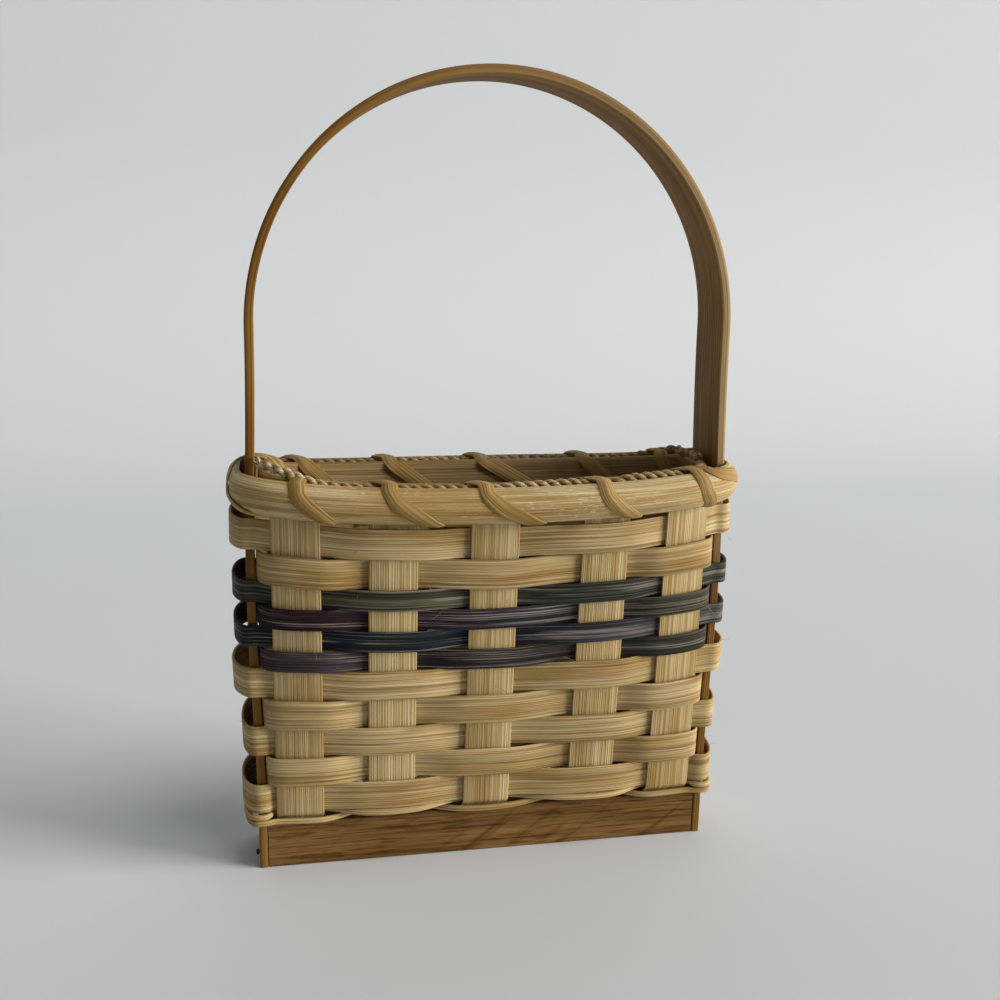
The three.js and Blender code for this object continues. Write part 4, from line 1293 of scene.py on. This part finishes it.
def lashing_turn(k):
    step = dip_step(k)
    top_step = onward(step, cross_step(k + 1))
    next_step = onward(top_step, dip_step(k + 1))
    drift_on_top = TOP_DRIFT / seam_step_length
    turn = [beside_rim(seam_line, step, 0, -half_height, 0, -1)]
    for at in half_section(INSIDE_DEGREES, INSIDE_SQUARENESS, inside_reach, half_height):
        here = step + (top_step - drift_on_top - step) * at.share
        turn.append(beside_rim(inner_grip, here, -at.reach, at.height, -at.lean, at.lean_up))
    sink = turn_over(k + 1).sink
    turn.append(beside_rim(seam_line, top_step - drift_on_top, -shoulder, lashing_top - sink, 0, 1))
    turn.append(beside_rim(seam_line, top_step, shoulder, lashing_top - sink, 0, 1))
    for at in half_section(OUTSIDE_DEGREES, OUTSIDE_SQUARENESS, outside_reach, half_height):
        here = top_step + (next_step - top_step) * (1 - at.share) ** turn_over(k + 1).drift
        thinned = rim_pressed(seam_line[int(round(here)) % PLAN_STEPS, 1]) * OUTER_RIM_THICKNESS
        reach = at.reach * (1 - thinned / outside_reach) - sink
        turn.append(beside_rim(outer_grip, here, reach, at.height, at.lean, at.lean_up))
    return turn


places = [place for i in range(UPRIGHT_COUNT) for place in lashing_turn(BACK_START + i)]
middle, under = through([p.place for p in places]), through([p.under for p in places])
centre, facing = even_steps(middle, LASHING_STEP, middle - under)
along = unit(np.gradient(centre, axis=0))
out = unit(facing - along * np.sum(facing * along, axis=1, keepdims=True))
piece = swept("flat_lashing", centre, out, cupped_strip, lashing_reed,
              Width=LASHING_WIDTH, Thickness=LASHING_THICKNESS, Edge=LASHING_EDGE, Cup=LASHING_CUP)
dress(piece, "lashing_reed", "lashing")
print("lashing:", UPRIGHT_COUNT, "turns,", round(lengths_along(centre)[-1]), "mm of reed")

# %% [markdown]
# Reed sheds hairs: fine fibres that spring loose along the edges of the strips.
# They are scattered with nodes: points on the strips' narrow edges, a bent hair on each, turned and sized
# at random.

# %% Loose fibres
HAIR_DENSITY = 17000
HAIR_LENGTH = 6
HAIR_WIDTH = 0.13
HAIR_POINTS = 6
HAIR_SEED = 5
HAIR_LEAN = 1.1
HAIR_SIZES = (0.4, 1.2)
HAIR_BEND = {"Start": (0, 0, 0), "Middle": (0.05, 0.1, 0.6), "End": (0.2, 0.5, 0.9)}
EDGE_STEEPNESS = 0.7


def hair_tree():
    add, given = new_tree("loose fibres on reed edges", ["Density", "Length", "Width"])
    normal = add("GeometryNodeInputNormal")
    parts = add("ShaderNodeSeparateXYZ", {"Vector": normal})
    steep = add("ShaderNodeMath", [parts.outputs["Z"]], operation="ABSOLUTE")
    is_edge = add("FunctionNodeCompare", {"A": steep, "B": EDGE_STEEPNESS}, operation="GREATER_THAN")
    points = add("GeometryNodeDistributePointsOnFaces",
                 {"Mesh": given["Path"], "Selection": is_edge, "Density": given["Density"],
                  "Seed": HAIR_SEED})
    bent = add("GeometryNodeCurveQuadraticBezier", {"Resolution": HAIR_POINTS, **HAIR_BEND})
    sized = add("GeometryNodeTransform", {"Geometry": bent, "Scale": given["Length"]})
    section = ring_section(add, given, FINE_POINTS)
    hair = add("GeometryNodeCurveToMesh", {"Curve": sized, "Profile Curve": section, "Fill Caps": True})
    turn = add("FunctionNodeRandomValue",
               {"Min": (-HAIR_LEAN, -HAIR_LEAN, 0), "Max": (HAIR_LEAN, HAIR_LEAN, 2 * math.pi),
                "Seed": HAIR_SEED}, data_type="FLOAT_VECTOR")
    size = add("FunctionNodeRandomValue",
               {"Min_001": HAIR_SIZES[0], "Max_001": HAIR_SIZES[1], "Seed": HAIR_SEED},
               data_type="FLOAT")
    rotation = add("FunctionNodeRotateRotation",
                   {"Rotation": points.outputs["Rotation"], "Rotate By": turn}, rotation_space="LOCAL")
    hairs = add("GeometryNodeInstanceOnPoints",
                {"Points": points, "Instance": hair, "Rotation": rotation, "Scale": size})
    return close_tree(add, hairs, given)


all_rows = bmesh.new()
for number in row_paths:
    all_rows.from_mesh(row_pieces[number].data)
rows_mesh = bpy.data.meshes.new("rows")
all_rows.to_mesh(rows_mesh)
all_rows.free()
hairs = made("loose_reed_fibres", rows_mesh, hair_tree(),
             {"Density": float(HAIR_DENSITY), "Length": HAIR_LENGTH * MM, "Width": HAIR_WIDTH * MM,
              "Strand": float(next(strand_numbers)), "Finish": natural_reed})
dress(hairs, "natural_reed")
print("loose fibres:", len(hairs.data.polygons), "faces")

# %% [markdown]
# The handle is one thin oak strip, steamed and bent. Its legs run straight down to the board's ends.
# It is swept like a reed, so that its grain follows the bend.

# %% Handle
HANDLE_EDGE = 0.5
HANDLE_STEP = 2.0
HANDLE_WORN_EDGE = 0.9
WORN_FROM = 300
WORN_FULL = 480
WORN_TO = 610
WORN_FADED = 560
WORN_SHARE = 0.7
WORN_COLOUR = "#b59b70"
LEG_STEPS = 90
ARCH_STEPS = 180

arch_rise = handle_top - HANDLE_THICKNESS / 2 - HANDLE_SPRING
leg_levels = np.linspace(0, HANDLE_SPRING, LEG_STEPS, endpoint=False)
left_leg = np.column_stack([-leg_x(leg_levels), leg_levels])
arch_angle = np.linspace(np.pi, 0, ARCH_STEPS)
arch = np.column_stack([leg_x(HANDLE_SPRING) * np.cos(arch_angle),
                        HANDLE_SPRING + arch_rise * np.sin(arch_angle)])
bend = even_steps(np.vstack([left_leg, arch, (left_leg * (-1, 1))[::-1]]), HANDLE_STEP)
bend_along = unit(np.gradient(bend, axis=0))
centre = np.column_stack([bend[:, 0], np.zeros(len(bend)), bend[:, 1]])
out = np.column_stack([-bend_along[:, 1], np.zeros(len(bend)), bend_along[:, 0]])

# Split, sanded and stained oak: brown, with long dark grain, and paler where its edges are worn by hands.
bent_oak = fibre_finish(
    "stained bent oak", roughness=0.65, length=260, width=1.0, tones=("#805d2b", "#8d6930", "#9a763b"),
    line="#573a17", line_share=0.6, glint="#a58349", glint_share=0.3)
add = nodes_of(bent_oak)
across, along = [add("ShaderNodeAttribute", attribute_name=name).outputs["Fac"]
                 for name in ("across", "along")]
from_middle = add("ShaderNodeMath", [across], operation="ABSOLUTE")
worn_from = (handle_half_width - HANDLE_WORN_EDGE) * MM
stain(bent_oak, WORN_COLOUR, Share(from_middle, worn_from, handle_half_width * MM, 0.0, WORN_SHARE),
      Share(along, WORN_FROM * MM, WORN_FULL * MM), Share(along, WORN_TO * MM, WORN_FADED * MM))
piece = swept("bent_handle", centre, out, flat_strip, bent_oak,
              Width=2 * handle_half_width, Thickness=HANDLE_THICKNESS, Edge=HANDLE_EDGE)
dress(piece, "bent_oak", "handle")
print("handle strip", round(lengths_along(centre)[-1]), "mm long")

# %% [markdown]
# The base is a plain oak board, and the frame's own piece already has its grooves and eased edges.
# It only needs a finish, which reads Object coordinates because the grain runs straight along the board.

# %% Board
# Planed, stained oak: a warm brown with long soft streaks and short dark pores, and a faint satin.
# Slanted darker bands on its front are painted shadows, as the bulging rows above cast them down and to the
# left.
OAK_ROUGHNESS = 0.6
stained_oak = new_finish("stained oak board",
                         {"Roughness": OAK_ROUGHNESS, "Specular IOR Level": FIBRE_GLOSS})
add = nodes_of(stained_oak)
coordinates = add("ShaderNodeTexCoord")
Grain = namedtuple("Grain", "length depth height slant stops")
BOARD_GRAIN_AND_SHADOW_MARKS = (
    Grain(80, 8, 5, 0, [(0.3, "#6c4f29"), (0.5, "#7f6035"), (0.7, "#8d6e40")]),
    Grain(13, 4, 1.0, 0, [(0.36, "#c9b999"), (0.5, "#ffffff")]),
    Grain(60, 5, 0.8, 0, [(0.34, "#cfc0a3"), (0.52, "#ffffff")]),
    # Painted shadows: slanted darker bands below the bulging rows.
    Grain(70, 30, 5, 38, [(0.27, "#c3b08d"), (0.42, "#ffffff")]),
)
tone = (1, 1, 1, 1)
for grain in BOARD_GRAIN_AND_SHADOW_MARKS:
    marks = (1 / (grain.length * MM), 1 / (grain.depth * MM), 1 / (grain.height * MM))
    turn = (0, math.radians(grain.slant), 0)
    turned = add("ShaderNodeMapping", {"Vector": coordinates.outputs["Object"], "Rotation": turn})
    drawn_out = add("ShaderNodeMapping", {"Vector": turned, "Scale": marks})
    noise = add("ShaderNodeTexNoise", {"Vector": drawn_out, "Scale": 1.0})
    shade = add("ShaderNodeValToRGB", {"Fac": noise}, grain.stops)
    tone = add("ShaderNodeMix", {"Factor_Float": 1.0, "A_Color": tone, "B_Color": shade},
               data_type="RGBA", blend_type="MULTIPLY")
fill(shader_of(stained_oak), {"Base Color": tone})
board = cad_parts["base_board"]
board.data.materials.clear()
board.data.materials.append(stained_oak)
print("board:", board.name, "in", stained_oak.name)

# %% [markdown]
# A small brad holds each leg to the board's end, with a low domed head a little proud of the wood.

# %% Brads
# Oxidised iron wire: nearly black, with a dull metal sheen.
IRON = {"Base Color": linear("#2a2522"), "Metallic": 0.8, "Roughness": 0.5}
blackened_iron = new_finish("blackened iron", IRON)
for name in ("left_brad", "right_brad"):
    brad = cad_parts[name]
    brad.data.materials.clear()
    brad.data.materials.append(blackened_iron)
print("brads: 2")
